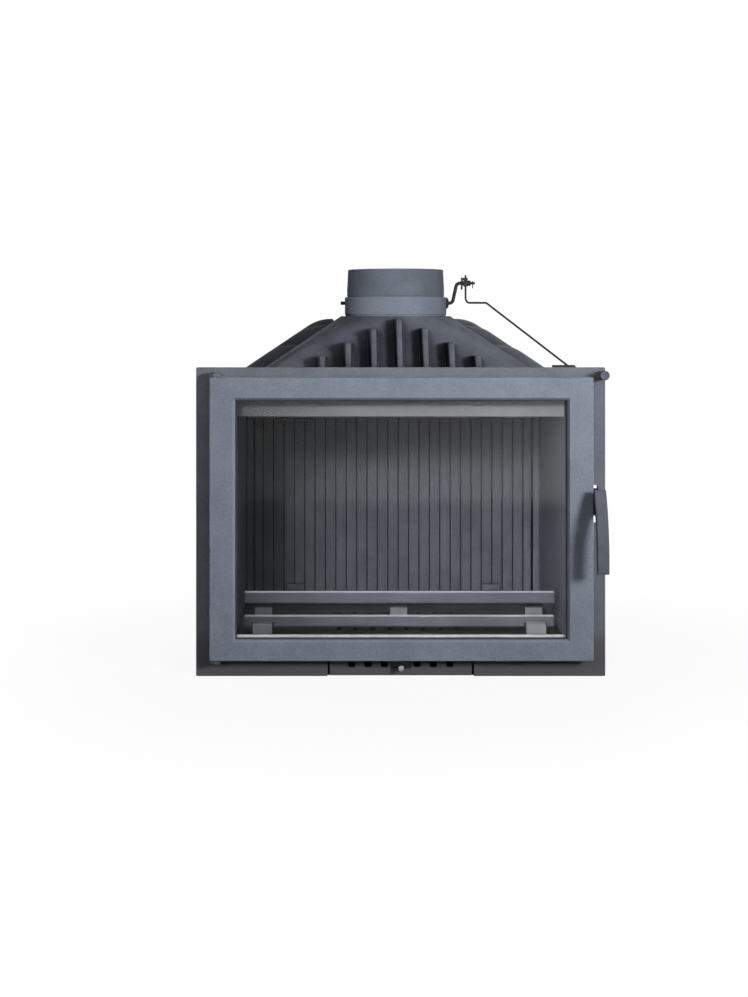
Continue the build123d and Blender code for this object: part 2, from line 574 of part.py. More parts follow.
for side, name in ((-1, "side_liner_left"), (1, "side_liner_right")):
    with BuildPart() as side_liner:
        wall_x = sorted((side * LINER_X, side * (LINER_X + SIDE_LINER_T)))
        slab(wall_x, behind(12, LINER_DEPTH + PLATE_T), (FLOOR_Z + 0.3, LINER_TOP + 30))
        return_x = sorted((side * RETURN_X, side * LINER_X))
        slab(return_x, behind(*RETURN_DEPTH), (FLOOR_Z + 0.3, LINER_TOP))
        fillet(side_liner.edges().filter_by(Axis.Z).sort_by(Axis.X)[::side][:2], 1.5)
    side_liner.part.label = name
    export_step(side_liner.part, f"parts/{name}.step")

with BuildPart() as liner_clips:
    for x in both_sides((172.0, 205.0)):
        slab(x, behind(LINER_DEPTH - 6, LINER_DEPTH), (87, 98))
    chamfer(liner_clips.edges().filter_by(Axis.X).group_by(Axis.Z)[-1].group_by(Axis.Y)[0], 2)
liner_clips.part.label = "liner_clips"
export_step(liner_clips.part, "parts/liner_clips.step")

with BuildPart() as baffle_lugs:
    for x, leg in zip(both_sides((161.0, 224.0)), both_sides((161.0, 165.0))):
        slab(x, behind(LINER_DEPTH - 16, LINER_DEPTH), (414, 418))
        slab(leg, behind(LINER_DEPTH - 16, LINER_DEPTH), (404, 414))
baffle_lugs.part.label = "baffle_lugs"
export_step(baffle_lugs.part, "parts/baffle_lugs.step")

with BuildPart() as baffle_pegs:
    for side in (-1, 1):
        peg_y = FRONT + PEG_DEPTH
        rod((side * 268, peg_y, PEG_Z), (side * LINER_X, peg_y, PEG_Z), PEG_R)
baffle_pegs.part.label = "baffle_pegs"
export_step(baffle_pegs.part, "parts/baffle_pegs.step")

BAFFLE_X, BAFFLE_T = 280.0, 8.0
BAFFLE_REAR, BAFFLE_LENGTH = (333.4, 418.6), 188.0
BAFFLE_TILT = 14.0

with BuildPart() as baffle_plate:
    with BuildSketch(side_plane(-BAFFLE_X)):
        with Locations(Location((FRONT + BAFFLE_REAR[0], BAFFLE_REAR[1]), -BAFFLE_TILT)):
            Rectangle(BAFFLE_LENGTH, BAFFLE_T, align=(Align.MAX, Align.MIN))
    extrude(amount=2 * BAFFLE_X)
    fillet(baffle_plate.edges().filter_by(Axis.X), 1.5)
baffle_plate.part.label = "baffle_plate"
export_step(baffle_plate.part, "parts/baffle_plate.step")

DEFLECTOR_X, DEFLECTOR_Z = 281.0, (443.6, 475.6)
DEFLECTOR_DEPTH = (8.2, 11.2)
DEFLECTOR_BOLT_X, DEFLECTOR_BOLT_Z = 131.0, 467.0

with BuildPart() as air_deflector:
    slab((-DEFLECTOR_X, DEFLECTOR_X), behind(*DEFLECTOR_DEPTH), DEFLECTOR_Z)
    slab((-DEFLECTOR_X, DEFLECTOR_X), behind(DEFLECTOR_DEPTH[1], 24), (DEFLECTOR_Z[0], DEFLECTOR_Z[0] + 3))
    for side in (-1, 1):
        near, far = behind(*DEFLECTOR_DEPTH)
        bolt_x = side * DEFLECTOR_BOLT_X
        rod((bolt_x, near, DEFLECTOR_BOLT_Z), (bolt_x, far, DEFLECTOR_BOLT_Z), 3.1, Mode.SUBTRACT)
air_deflector.part.label = "air_deflector"
export_step(air_deflector.part, "parts/air_deflector.step")

with BuildPart() as deflector_stiffener:
    slab((-270, 270), behind(11.4, 16.4), (459, 475))
    for side in (-1, 1):
        near, far = behind(11.4, 16.4)
        bolt_x = side * DEFLECTOR_BOLT_X
        rod((bolt_x, near, DEFLECTOR_BOLT_Z), (bolt_x, far, DEFLECTOR_BOLT_Z), 3.1, Mode.SUBTRACT)
deflector_stiffener.part.label = "deflector_stiffener"
export_step(deflector_stiffener.part, "parts/deflector_stiffener.step")

with BuildPart() as deflector_bolts:
    for side in (-1, 1):
        tip, seat, crown = behind(16.4, DEFLECTOR_DEPTH[0], DEFLECTOR_DEPTH[0] - 3)
        bolt_x = side * DEFLECTOR_BOLT_X
        rod((bolt_x, seat, DEFLECTOR_BOLT_Z), (bolt_x, tip, DEFLECTOR_BOLT_Z), 3)
        rod((bolt_x, crown, DEFLECTOR_BOLT_Z), (bolt_x, seat, DEFLECTOR_BOLT_Z), 6)
    fillet(deflector_bolts.edges().group_by(Axis.Y)[0], 2)
deflector_bolts.part.label = "deflector_bolts"
export_step(deflector_bolts.part, "parts/deflector_bolts.step")

# ---------------------------------------------------------------- grate and log guard
GRATE_T = 6.0
GRATE_SLOT_PITCH, GRATE_SLOT_W = 30.0, 8.0
GRATE_ROWS = ((101.0, 181.0), (192.0, 272.0))
SCALLOP_PITCH, SCALLOP_D = 60.0, 3.0
CROSSBAR_H = 7.0

with BuildPart() as grate:
    with BuildSketch(Plane.XY.offset(GRATE_TOP - GRATE_T)):
        front_y, rear_y = behind(*GRATE_DEPTH)
        with Locations((0, (front_y + rear_y) / 2)):
            Rectangle(2 * GRATE_X, rear_y - front_y)
        scallop_r = ((SCALLOP_PITCH / 2) ** 2 + SCALLOP_D**2) / (2 * SCALLOP_D)
        with Locations((0, front_y + SCALLOP_D - scallop_r)):
            with GridLocations(SCALLOP_PITCH, 0, 5, 1):
                Circle(scallop_r, mode=Mode.SUBTRACT)
        for row in GRATE_ROWS:
            start, stop = behind(*row)
            with Locations((0, (start + stop) / 2)):
                with GridLocations(GRATE_SLOT_PITCH, 0, 8, 1):
                    SlotOverall(stop - start, GRATE_SLOT_W, rotation=90, mode=Mode.SUBTRACT)
    extrude(amount=GRATE_T)
    under = GRATE_TOP - GRATE_T
    slab((-120, 120), behind(184.5, 188.5), (under - CROSSBAR_H, under))
grate.part.label = "grate"
export_step(grate.part, "parts/grate.step")

UPPER_BAR_Z, LOWER_BAR_Z = (114.0, 133.5), (73.4, 91.8)
NOTCH_X, NOTCH_TOP = (217.6, 259.0), 81.4

with BuildPart() as guard_upper_bar:
    slab((-GUARD_X, GUARD_X), behind(*GUARD_DEPTH), UPPER_BAR_Z)
    fillet(guard_upper_bar.edges(), 1.8)
guard_upper_bar.part.label = "guard_upper_bar"
export_step(guard_upper_bar.part, "parts/guard_upper_bar.step")

with BuildPart() as guard_lower_bar:
    slab((-GUARD_X, GUARD_X), behind(*GUARD_DEPTH), LOWER_BAR_Z)
    fillet(guard_lower_bar.edges(), 1.8)
    for x in both_sides(NOTCH_X):
        slab(x, behind(*GUARD_DEPTH), (LOWER_BAR_Z[0], NOTCH_TOP), Mode.SUBTRACT)
guard_lower_bar.part.label = "guard_lower_bar"
export_step(guard_lower_bar.part, "parts/guard_lower_bar.step")

GUARD_LINK_X, GUARD_LINK_W = 238.0, 29.5
LINK_FACE, LINK_BACK = 78.0, 84.0

with BuildPart() as guard_links:
    bar_back = FRONT + GUARD_DEPTH[1]
    face_y, back_y = behind(LINK_FACE, LINK_BACK)
    for middle in (-GUARD_LINK_X, 0, GUARD_LINK_X):
        with BuildSketch(side_plane(middle - GUARD_LINK_W / 2)):
            with BuildLine():
                Polyline(
                    (bar_back, 127), (back_y, 108), (back_y, 83), (bar_back, 83),
                    (bar_back, 88), (face_y, 88), (face_y, 105), (bar_back, 118), close=True,
                )
            make_face()
        extrude(amount=GUARD_LINK_W)
guard_links.part.label = "guard_links"
export_step(guard_links.part, "parts/guard_links.step")

# ---------------------------------------------------------------- door
POCKET = (7.0, 7.0)                 # how much wider and higher the glass pocket is on each side
SHELF = (17.0, 12.0)                # and the clip shelf
SIGHT_BEVEL = 3.5
LIP_BACK, SHELF_DEPTH = -23.0, -12.0
ROPE_X, ROPE_Z, ROPE_W = 301.0, (52.8, 492.2), 9.5
ROPE_GROOVE = -10.0
CLIP_Z = (110.0, 271.0, 432.0)
BEVEL = 3.5                         # clears the frame as the door's hinge edge swings in
CLIP_SCREW_OFFSET = 12.0            # outside the sight opening
SIGHT_MIDDLE = sum(SIGHT_Z) / 2
SIGHT_H = SIGHT_Z[1] - SIGHT_Z[0]


def ring_sketch(x, z, width, outer_r, inner_r):
    """A rounded rectangular ring whose inner edge is at +-x and the range z."""
    height = z[1] - z[0]
    with Locations((0, sum(z) / 2)):
        RectangleRounded(2 * (x + width), height + 2 * width, outer_r)
        RectangleRounded(2 * x, height, inner_r, mode=Mode.SUBTRACT)


def clip_places():
    """Places of the glass clips: X, Z and the turn about Y that points the clip inwards."""
    offset = SIGHT_X + CLIP_SCREW_OFFSET
    return [(side * offset, z, 90 - side * 90) for side in (-1, 1) for z in CLIP_Z]


with BuildPart() as door_frame:
    door_h = DOOR_Z[1] - DOOR_Z[0]
    with BuildSketch(front_plane(DOOR_BACK)):
        with Locations((0, sum(DOOR_Z) / 2)):
            RectangleRounded(2 * DOOR_X, door_h, 2.5)
        with Locations((0, SIGHT_MIDDLE)):
            Rectangle(2 * SIGHT_X, SIGHT_H, mode=Mode.SUBTRACT)
    extrude(amount=DOOR_BACK - DOOR_FACE)
    face = door_frame.faces().sort_by(Axis.Y)[0]
    chamfer(face.inner_wires()[0].edges(), SIGHT_BEVEL)
    fillet(door_frame.faces().sort_by(Axis.Y)[0].outer_wire().edges(), 1.6)
    for margin, floor_depth in ((POCKET, LIP_BACK), (SHELF, SHELF_DEPTH)):
        with BuildSketch(front_plane(DOOR_BACK)):
            with Locations((0, SIGHT_MIDDLE)):
                RectangleRounded(2 * (SIGHT_X + margin[0]), SIGHT_H + 2 * margin[1], 3)
        extrude(amount=DOOR_BACK - floor_depth, mode=Mode.SUBTRACT)
    with BuildSketch(front_plane(DOOR_BACK)):
        ring_sketch(ROPE_X, ROPE_Z, ROPE_W, 15, 6)
    extrude(amount=DOOR_BACK - ROPE_GROOVE, mode=Mode.SUBTRACT)
    back_y = FRONT + DOOR_BACK
    with BuildSketch(Plane.XY.offset(DOOR_Z[0])):
        with BuildLine():
            Polyline((-DOOR_X, back_y), (-DOOR_X + BEVEL, back_y), (-DOOR_X, back_y - BEVEL), close=True)
        make_face()
    extrude(amount=door_h, mode=Mode.SUBTRACT)
    hole_r = HINGE_R + RUNNING
    hinge_y = FRONT + HINGE_DEPTH
    for z, reach in ((DOOR_Z[0], PIN_REACH + 1), (DOOR_Z[1], -PIN_REACH - 1)):
        rod((HINGE_X, hinge_y, z), (HINGE_X, hinge_y, z + reach), hole_r, Mode.SUBTRACT)
    handle_y = FRONT + HANDLE_DEPTH
    rod((DOOR_X - 20, handle_y, HANDLE_Z), (DOOR_X, handle_y, HANDLE_Z), 3.6, Mode.SUBTRACT)
    for x, z, _ in clip_places():
        start, stop = behind(SHELF_DEPTH, SHELF_DEPTH - 7)
        rod((x, start, z), (x, stop, z), 2.1, Mode.SUBTRACT)
door_frame.part.label = "door_frame"
export_step(door_frame.part, "parts/door_frame.step")

GASKET_T = 2.0
GLASS_MARGIN = 6.0
GASKET_SHOWS = 3.0                  # the gasket stands this far into the sight opening

with BuildPart() as door_glass:
    glass_front = LIP_BACK + GASKET_T
    with BuildSketch(front_plane(glass_front + GLASS_T)):
        with Locations((0, SIGHT_MIDDLE)):
            RectangleRounded(2 * (SIGHT_X + GLASS_MARGIN), SIGHT_H + 2 * GLASS_MARGIN, 2)
    extrude(amount=GLASS_T)
door_glass.part.label = "door_glass"
export_step(door_glass.part, "parts/door_glass.step")

with BuildPart() as glass_gasket:
    with BuildSketch(front_plane(LIP_BACK + GASKET_T)):
        inner_z = (SIGHT_Z[0] + GASKET_SHOWS, SIGHT_Z[1] - GASKET_SHOWS)
        ring_sketch(SIGHT_X - GASKET_SHOWS, inner_z, GASKET_SHOWS + GLASS_MARGIN - 1, 2, 1)
    extrude(amount=GASKET_T)
glass_gasket.part.label = "glass_gasket"
export_step(glass_gasket.part, "parts/glass_gasket.step")

REST_TOP = SIGHT_Z[0] + GASKET_SHOWS + 3.6

with BuildPart() as glass_rest:
    rest_front = LIP_BACK + GASKET_T + GLASS_T
    slab((-SIGHT_X, SIGHT_X), behind(rest_front, rest_front + 1.5), (SIGHT_Z[0] - 5, REST_TOP))
    slab((-SIGHT_X, SIGHT_X), behind(rest_front + 1.5, SHELF_DEPTH), (SIGHT_Z[0] - 5, SIGHT_Z[0] - 3.5))
glass_rest.part.label = "glass_rest"
export_step(glass_rest.part, "parts/glass_rest.step")

with BuildPart() as door_rope_seal:
    with BuildSketch(front_plane(-0.4)):
        ring_sketch(ROPE_X + 0.15, (ROPE_Z[0] - 0.15, ROPE_Z[1] + 0.15), ROPE_W - 0.3, 14.8, 6.2)
    extrude(amount=-0.4 - ROPE_GROOVE)
    fillet(door_rope_seal.faces().sort_by(Axis.Y)[-1].edges(), 3)
door_rope_seal.part.label = "door_rope_seal"
export_step(door_rope_seal.part, "parts/door_rope_seal.step")

CLIP_HALF, CLIP_T = 11.0, 1.6


def clip_solid():
    """One glass clip at the origin, its screw hole on the axis, its foot towards -X."""
    glass_back = LIP_BACK + GASKET_T + GLASS_T - SHELF_DEPTH
    with BuildPart() as clip:
        slab((-7, 4), (0, CLIP_T), (-CLIP_HALF, CLIP_HALF))
        slab((-7, -7 + CLIP_T), (glass_back, CLIP_T), (-CLIP_HALF, CLIP_HALF))
        slab((-12, -7 + CLIP_T), (glass_back, glass_back + CLIP_T), (-CLIP_HALF, CLIP_HALF))
        rod((0, 0, 0), (0, CLIP_T, 0), 2.1, Mode.SUBTRACT)
    return clip.part


one_clip = clip_solid()
with BuildPart() as glass_clips:
    for x, z, turn in clip_places():
        add(one_clip.rotate(Axis.Y, turn).translate((x, FRONT + SHELF_DEPTH, z)))
glass_clips.part.label = "glass_clips"
export_step(glass_clips.part, "parts/glass_clips.step")

with BuildPart() as clip_screws:
    for x, z, _ in clip_places():
        tip, seat, crown = behind(SHELF_DEPTH - 6, SHELF_DEPTH + CLIP_T, SHELF_DEPTH + CLIP_T + 2.2)
        rod((x, tip, z), (x, seat, z), 2)
        rod((x, seat, z), (x, crown, z), 3.6)
clip_screws.part.label = "clip_screws"
export_step(clip_screws.part, "parts/clip_screws.step")

# ---------------------------------------------------------------- handle and latch
ARM_X = (327.0, 333.0)
GRIP_X = (322.5, 342.5)
RIVETS = ((-36.0, 307.0), (-43.0, 289.0))

with BuildPart() as handle_arm:
    with BuildSketch(side_plane(ARM_X[0])):
        with BuildLine():
            outline = [
                (-37, 315), (-24, 315.5), (-8, 314), (4, 311.5), (19, 312.6), (27, 307),
                (27, 288), (10, 279), (-10, 278), (-30, 277.5), (-50, 281),
            ]
            Polyline(*[(FRONT + depth, z) for depth, z in outline], close=True)
        make_face()
    extrude(amount=ARM_X[1] - ARM_X[0])
    fillet(handle_arm.edges().filter_by(Axis.X), 2.5)
    handle_y = FRONT + HANDLE_DEPTH
    rod((ARM_X[0], handle_y, HANDLE_Z), (ARM_X[1], handle_y, HANDLE_Z), 4 + RUNNING, Mode.SUBTRACT)
    for depth, z in RIVETS:
        rod((ARM_X[0], FRONT + depth, z), (ARM_X[1], FRONT + depth, z), 3.1, Mode.SUBTRACT)
handle_arm.part.label = "handle_arm"
export_step(handle_arm.part, "parts/handle_arm.step")

WEB_X = (ARM_X[1] + 0.2, ARM_X[1] + 6.2)

with BuildPart() as handle_grip:
    with BuildSketch(side_plane(GRIP_X[0])):
        with BuildLine():
            ThreePointArc((FRONT - 50, 325), (FRONT - 76, 262), (FRONT - 82, 187))
            Line((FRONT - 82, 187), (FRONT - 71, 186))
            ThreePointArc((FRONT - 71, 186), (FRONT - 65, 258), (FRONT - 40, 321))
            Line((FRONT - 40, 321), (FRONT - 50, 325))
        make_face()
    extrude(amount=GRIP_X[1] - GRIP_X[0])
    fillet(handle_grip.edges().filter_by(Axis.X), 3)
    fillet(handle_grip.faces().filter_by(Axis.X).edges(), 1.6)
    with BuildSketch(side_plane(WEB_X[0])):
        with BuildLine():
            outline = [(-48, 316), (-30, 313), (-34, 284), (-62, 280)]
            Polyline(*[(FRONT + depth, z) for depth, z in outline], close=True)
        make_face()
    extrude(amount=WEB_X[1] - WEB_X[0])
    for depth, z in RIVETS:
        rod((WEB_X[0], FRONT + depth, z), (WEB_X[1], FRONT + depth, z), 3.1, Mode.SUBTRACT)
handle_grip.part.label = "handle_grip"
export_step(handle_grip.part, "parts/handle_grip.step")

with BuildPart() as handle_rivets:
    for depth, z in RIVETS:
        y = FRONT + depth
        rod((ARM_X[0] - 1.2, y, z), (ARM_X[0], y, z), 4.8)
        rod((ARM_X[0], y, z), (WEB_X[1], y, z), 3)
        rod((WEB_X[1], y, z), (WEB_X[1] + 1.4, y, z), 4.8)
handle_rivets.part.label = "handle_rivets"
export_step(handle_rivets.part, "parts/handle_rivets.step")

with BuildPart() as handle_pivot:
    y = FRONT + HANDLE_DEPTH
    rod((DOOR_X - 19, y, HANDLE_Z), (DOOR_X, y, HANDLE_Z), 3.5)
    rod((DOOR_X, y, HANDLE_Z), (DOOR_X + 1.6, y, HANDLE_Z), 6.5)
    rod((DOOR_X + 1.6, y, HANDLE_Z), (ARM_X[1] + 0.4, y, HANDLE_Z), 4)
    hex_head((ARM_X[1] + 0.4, y, HANDLE_Z), (ARM_X[1] + 4.4, y, HANDLE_Z), 7)
handle_pivot.part.label = "handle_pivot"
export_step(handle_pivot.part, "parts/handle_pivot.step")

KEEPER_DEPTH, KEEPER_Z = 17.0, 316.6

with BuildPart() as latch_keeper:
    slab((339.5, 342.5), behind(FRAME_T, 26), (300, 332))
    slab((342.5, 349), behind(FRAME_T, FRAME_T + 3), (300, 332))
    rod((325.5, FRONT + KEEPER_DEPTH, KEEPER_Z), (340, FRONT + KEEPER_DEPTH, KEEPER_Z), 3)
latch_keeper.part.label = "latch_keeper"
export_step(latch_keeper.part, "parts/latch_keeper.step")

# ---------------------------------------------------------------- ash drawer and air shutter
FACE_T = 5.0
AIR_SLOT_W, AIR_SLOT_FOOT = 12.0, 15.0
KNOB_SLOT_W, KNOB_SLOT_FOOT = 36.0, 13.5
PAN_X, PAN_T = 120.5, 1.5
SHUTTER_X, SHUTTER_DEPTH = 104.0, (5.4, 7.4)
SHUTTER_Z = (6.4, 30.0)
SHUTTER_KNOB_Z = 17.0


def air_slots(middle_width, middle_foot):
    """Seven upright slots, open at the top, the middle one wide for the knob."""
    for i in range(-3, 4):
        width = middle_width if i == 0 else AIR_SLOT_W
        foot = middle_foot if i == 0 else AIR_SLOT_FOOT
        with Locations((i * SHUTTER_PITCH, foot + 20)):
            RectangleRounded(width, 40, 2.5, mode=Mode.SUBTRACT)


with BuildPart() as drawer_front:
    with BuildSketch(front_plane(FACE_T)):
        with Locations((0, sum(DRAWER_Z) / 2)):
            RectangleRounded(2 * DRAWER_X, DRAWER_Z[1] - DRAWER_Z[0], 1.5)
        air_slots(KNOB_SLOT_W, KNOB_SLOT_FOOT)
    extrude(amount=FACE_T)
    slab((-118, 118), behind(FACE_T, 9.6), (4.6, 6.1))
    slab((-118, 118), behind(8, 9.6), (6.1, 9))
drawer_front.part.label = "drawer_front"
export_step(drawer_front.part, "parts/drawer_front.step")

with BuildPart() as ash_pan:
    slab((-PAN_X, PAN_X), behind(12, 318), (4.6, 4.6 + PAN_T))
    for x in both_sides((PAN_X - PAN_T, PAN_X)):
        slab(x, behind(FACE_T, 318), (4.6, 29))
    slab((-PAN_X, PAN_X), behind(12, 12 + PAN_T), (4.6, 14))
    slab((-PAN_X, PAN_X), behind(318 - PAN_T, 318), (4.6, 29))
ash_pan.part.label = "ash_pan"
export_step(ash_pan.part, "parts/ash_pan.step")

with BuildPart() as air_shutter:
    with BuildSketch(front_plane(SHUTTER_DEPTH[1])):
        with Locations((0, sum(SHUTTER_Z) / 2)):
            Rectangle(2 * SHUTTER_X, SHUTTER_Z[1] - SHUTTER_Z[0])
        for i in (-3, -2, -1, 1, 2, 3):
            with Locations((i * SHUTTER_PITCH, AIR_SLOT_FOOT + 20)):
                RectangleRounded(AIR_SLOT_W, 40, 2.5, mode=Mode.SUBTRACT)
    extrude(amount=SHUTTER_DEPTH[1] - SHUTTER_DEPTH[0])
air_shutter.part.label = "air_shutter"
export_step(air_shutter.part, "parts/air_shutter.step")

with BuildPart() as shutter_knob:
    near, neck, far = behind(-17, -4, SHUTTER_DEPTH[0])
    rod((0, near, SHUTTER_KNOB_Z), (0, neck, SHUTTER_KNOB_Z), 5)
    fillet(shutter_knob.edges().sort_by(Axis.Y)[0], 2)
    rod((0, neck, SHUTTER_KNOB_Z), (0, far, SHUTTER_KNOB_Z), 2.5)
shutter_knob.part.label = "shutter_knob"
export_step(shutter_knob.part, "parts/shutter_knob.step")
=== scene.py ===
import json
import math

import bmesh
import bpy
from bpy.props import FloatProperty, FloatVectorProperty, IntProperty, PointerProperty
from mathutils import Matrix, Vector

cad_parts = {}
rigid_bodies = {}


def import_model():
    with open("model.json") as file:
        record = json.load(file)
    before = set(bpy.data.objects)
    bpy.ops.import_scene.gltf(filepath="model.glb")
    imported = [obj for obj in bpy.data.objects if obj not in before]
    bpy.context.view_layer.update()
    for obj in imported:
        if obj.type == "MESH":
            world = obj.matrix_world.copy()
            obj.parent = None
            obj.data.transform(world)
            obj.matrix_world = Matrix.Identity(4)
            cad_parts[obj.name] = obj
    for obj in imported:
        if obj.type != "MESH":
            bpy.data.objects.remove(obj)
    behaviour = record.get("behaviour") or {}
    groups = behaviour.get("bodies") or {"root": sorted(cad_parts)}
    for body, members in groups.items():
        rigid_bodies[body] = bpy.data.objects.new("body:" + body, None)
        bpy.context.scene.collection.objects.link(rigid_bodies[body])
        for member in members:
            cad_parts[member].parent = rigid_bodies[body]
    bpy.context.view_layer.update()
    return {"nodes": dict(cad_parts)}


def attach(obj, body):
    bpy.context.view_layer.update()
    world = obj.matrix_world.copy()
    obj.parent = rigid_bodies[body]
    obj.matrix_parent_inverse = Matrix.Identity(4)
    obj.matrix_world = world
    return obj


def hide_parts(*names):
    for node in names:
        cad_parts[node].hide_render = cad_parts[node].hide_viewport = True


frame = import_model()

# A cast-iron fireplace insert: its castings under matt stove paint, a glass door with a rope seal,
# a damper linkage beside the flue collar, a log guard, a grate and an ash drawer.

bl_info = {
    "name": "Fireplace insert",
    "version": (1, 0, 0),
    "blender": (4, 5, 0),
    "location": "3D View > Sidebar > Fireplace insert",
    "description": "Finishes, small parts and studio stage of a cast-iron fireplace insert",
    "category": "Object",
}

MM = 0.001
NODES = frame["nodes"]


# ---------------------------------------------------------------- small helpers
def linear(colour):
    """The linear RGBA of an sRGB hex value such as #7b818e, or of a colour that is linear already."""
    if not isinstance(colour, str):
        return tuple(colour)[:3] + (1.0,)
    values = [int(colour[i:i + 2], 16) / 255 for i in (1, 3, 5)]
    return tuple(v / 12.92 if v <= 0.04045 else ((v + 0.055) / 1.055) ** 2.4 for v in values) + (1.0,)


def per_metre(size_mm):
    """The noise scale that gives features about size_mm across."""
    return 1 / (size_mm * MM)


def add_node(tree, kind, values=None, **settings):
    """Adds a node, sets its properties, and fills or links its inputs by name or number."""
    node = tree.nodes.new(kind)
    for key, value in settings.items():
        setattr(node, key, value)
    for key, value in (values or {}).items():
        if isinstance(value, bpy.types.NodeSocket):
            tree.links.new(value, node.inputs[key])
        else:
            node.inputs[key].default_value = value
    return node


def new_material(name):
    """A node material with nothing in its tree yet, and that tree."""
    material = bpy.data.materials.new(name)
    material.use_nodes = True
    material.node_tree.nodes.clear()
    return material, material.node_tree


def blend_colour(tree, factor, low, high):
    """Mixes two colours, given as hex text, linear values or sockets, by a factor."""
    low, high = (c if isinstance(c, bpy.types.NodeSocket) else linear(c) for c in (low, high))
    return add_node(tree, "ShaderNodeMix", {0: factor, 6: low, 7: high}, data_type="RGBA").outputs[2]


def spread(tree, value, low, high, to_low=0.0, to_high=1.0):
    """Maps a value's range low..high to another range, clamped."""
    node = add_node(tree, "ShaderNodeMapRange", {"Value": value, "From Min": low, "From Max": high,
                                                 "To Min": to_low, "To Max": to_high})
    return node.outputs["Result"]


def noise(tree, place, size_mm, detail=2.0, rough=0.5):
    """A noise with features about size_mm across, in millimetres on the piece."""
    node = add_node(tree, "ShaderNodeTexNoise", {"Vector": place, "Scale": per_metre(size_mm),
                                                 "Detail": detail, "Roughness": rough})
    return node.outputs["Fac"]


def tint_along(tree, colour, place, axis, start_mm, end_mm, tint, share=1.0):
    """Fades a colour into a tint along one axis of the object, from start to end."""
    level = add_node(tree, "ShaderNodeSeparateXYZ", {"Vector": place}).outputs[axis]
    return blend_colour(tree, spread(tree, level, start_mm * MM, end_mm * MM, 0, share), colour, tint)


def edge_share(tree, radius_mm):
    """How near a point is to an edge, and the normal of that edge rounded off."""
    rounded = add_node(tree, "ShaderNodeBevel", {"Radius": radius_mm * MM}, samples=6).outputs["Normal"]
    geometry = add_node(tree, "ShaderNodeNewGeometry").outputs["Normal"]
    dot = add_node(tree, "ShaderNodeVectorMath", {0: rounded, 1: geometry}, operation="DOT_PRODUCT")
    return spread(tree, dot.outputs["Value"], 0.995, 0.75), rounded


# ---------------------------------------------------------------- finishes
SPECK_FACTOR = 2       # sand marks are this many grains across
CLOUD_MM = 46          # size of the paint film's soft clouds
# the colours of the grain's pits and of the painted shade in hollows
PIT, RECESS_SHADE = "#202328", "#24262b"


def painted_casting(name, face, shade, edge, grain_mm=1.5, rough=(0.50, 0.66), relief_mm=0.09, wear_and_highlight=0.55,
                    recess_shade=0.0, recess_mm=45, edge_mm=1.3, ash=0.0, tint=None, crisp=False,
                    gloss=0.03, recess_span=(0.45, 0.9)):
    """Sand-cast iron under matt stove paint: the sand's grain shows through a thin even film."""
    material, tree = new_material(name)
    place = add_node(tree, "ShaderNodeTexCoord").outputs["Object"]
    grain = noise(tree, place, grain_mm, 3, 0.62)
    flow = noise(tree, place, CLOUD_MM, 3, 0.55)
    speck = noise(tree, place, grain_mm * SPECK_FACTOR, 2, 0.5)
    near_edge, rounded = edge_share(tree, edge_mm)
    # the film lies unevenly: broad soft clouds of two near tones
    colour = blend_colour(tree, spread(tree, flow, 0.34, 0.68), shade, face)
    # sand marks a few grains wide, a little darker
    colour = blend_colour(tree, spread(tree, speck, 0.56, 0.72, 0.0, 0.3), colour, shade)
    # pits between the grains hold shadow
    colour = blend_colour(tree, spread(tree, grain, 0.38, 0.60, 0.34, 0.0), colour, PIT)
    # painted shade: darker in corners and hollows, where ambient occlusion finds little open sky
    if recess_shade:
        open_sky = add_node(tree, "ShaderNodeAmbientOcclusion", {"Distance": recess_mm * MM}, samples=12)
        darkening = spread(tree, open_sky.outputs["AO"], *recess_span, recess_shade, 0.0)
        colour = blend_colour(tree, darkening, colour, RECESS_SHADE)
    # rubbed edges, paler in patches: partly worn paint, partly a painted highlight along the arrises
    patches = spread(tree, speck, 0.3, 0.6)
    worn_and_lit = add_node(tree, "ShaderNodeMath", {0: near_edge, 1: patches}, operation="MULTIPLY").outputs[0]
    colour = blend_colour(tree, spread(tree, worn_and_lit, 0, 1, 0, wear_and_highlight), colour, edge)
    # a painted highlight on the faces that look up, where light from above falls, with some pale ash
    if ash:
        up = add_node(tree, "ShaderNodeNewGeometry").outputs["True Normal"]
        up = add_node(tree, "ShaderNodeSeparateXYZ", {"Vector": up}).outputs["Z"]
        colour = blend_colour(tree, spread(tree, up, 0.35, 0.9, 0, ash), colour, edge)
    # a tone faded in along one axis, as each finish sets it: painted shadow on the frame's foot and the
    # links, paler lugs on the hearth
    if tint:
        colour = tint_along(tree, colour, place, *tint)
    height = add_node(tree, "ShaderNodeMath", {0: grain, 1: speck}, operation="ADD").outputs[0]
    bump = add_node(tree, "ShaderNodeBump", {"Strength": 0.8, "Distance": relief_mm * MM, "Height": height})
    # joint faces and fins keep their crisp cast edges, everything else catches light on a rounded one
    if not crisp:
        tree.links.new(rounded, bump.inputs["Normal"])
    shader = add_node(tree, "ShaderNodeBsdfPrincipled", {
        "Base Color": colour, "Roughness": spread(tree, grain, 0.3, 0.7, rough[1], rough[0]),
        "Normal": bump.outputs["Normal"], "Specular IOR Level": gloss})
    add_node(tree, "ShaderNodeOutputMaterial", {"Surface": shader.outputs["BSDF"]})
    return material


BLOTCH_MM = 9          # size of the steel's soft blotches


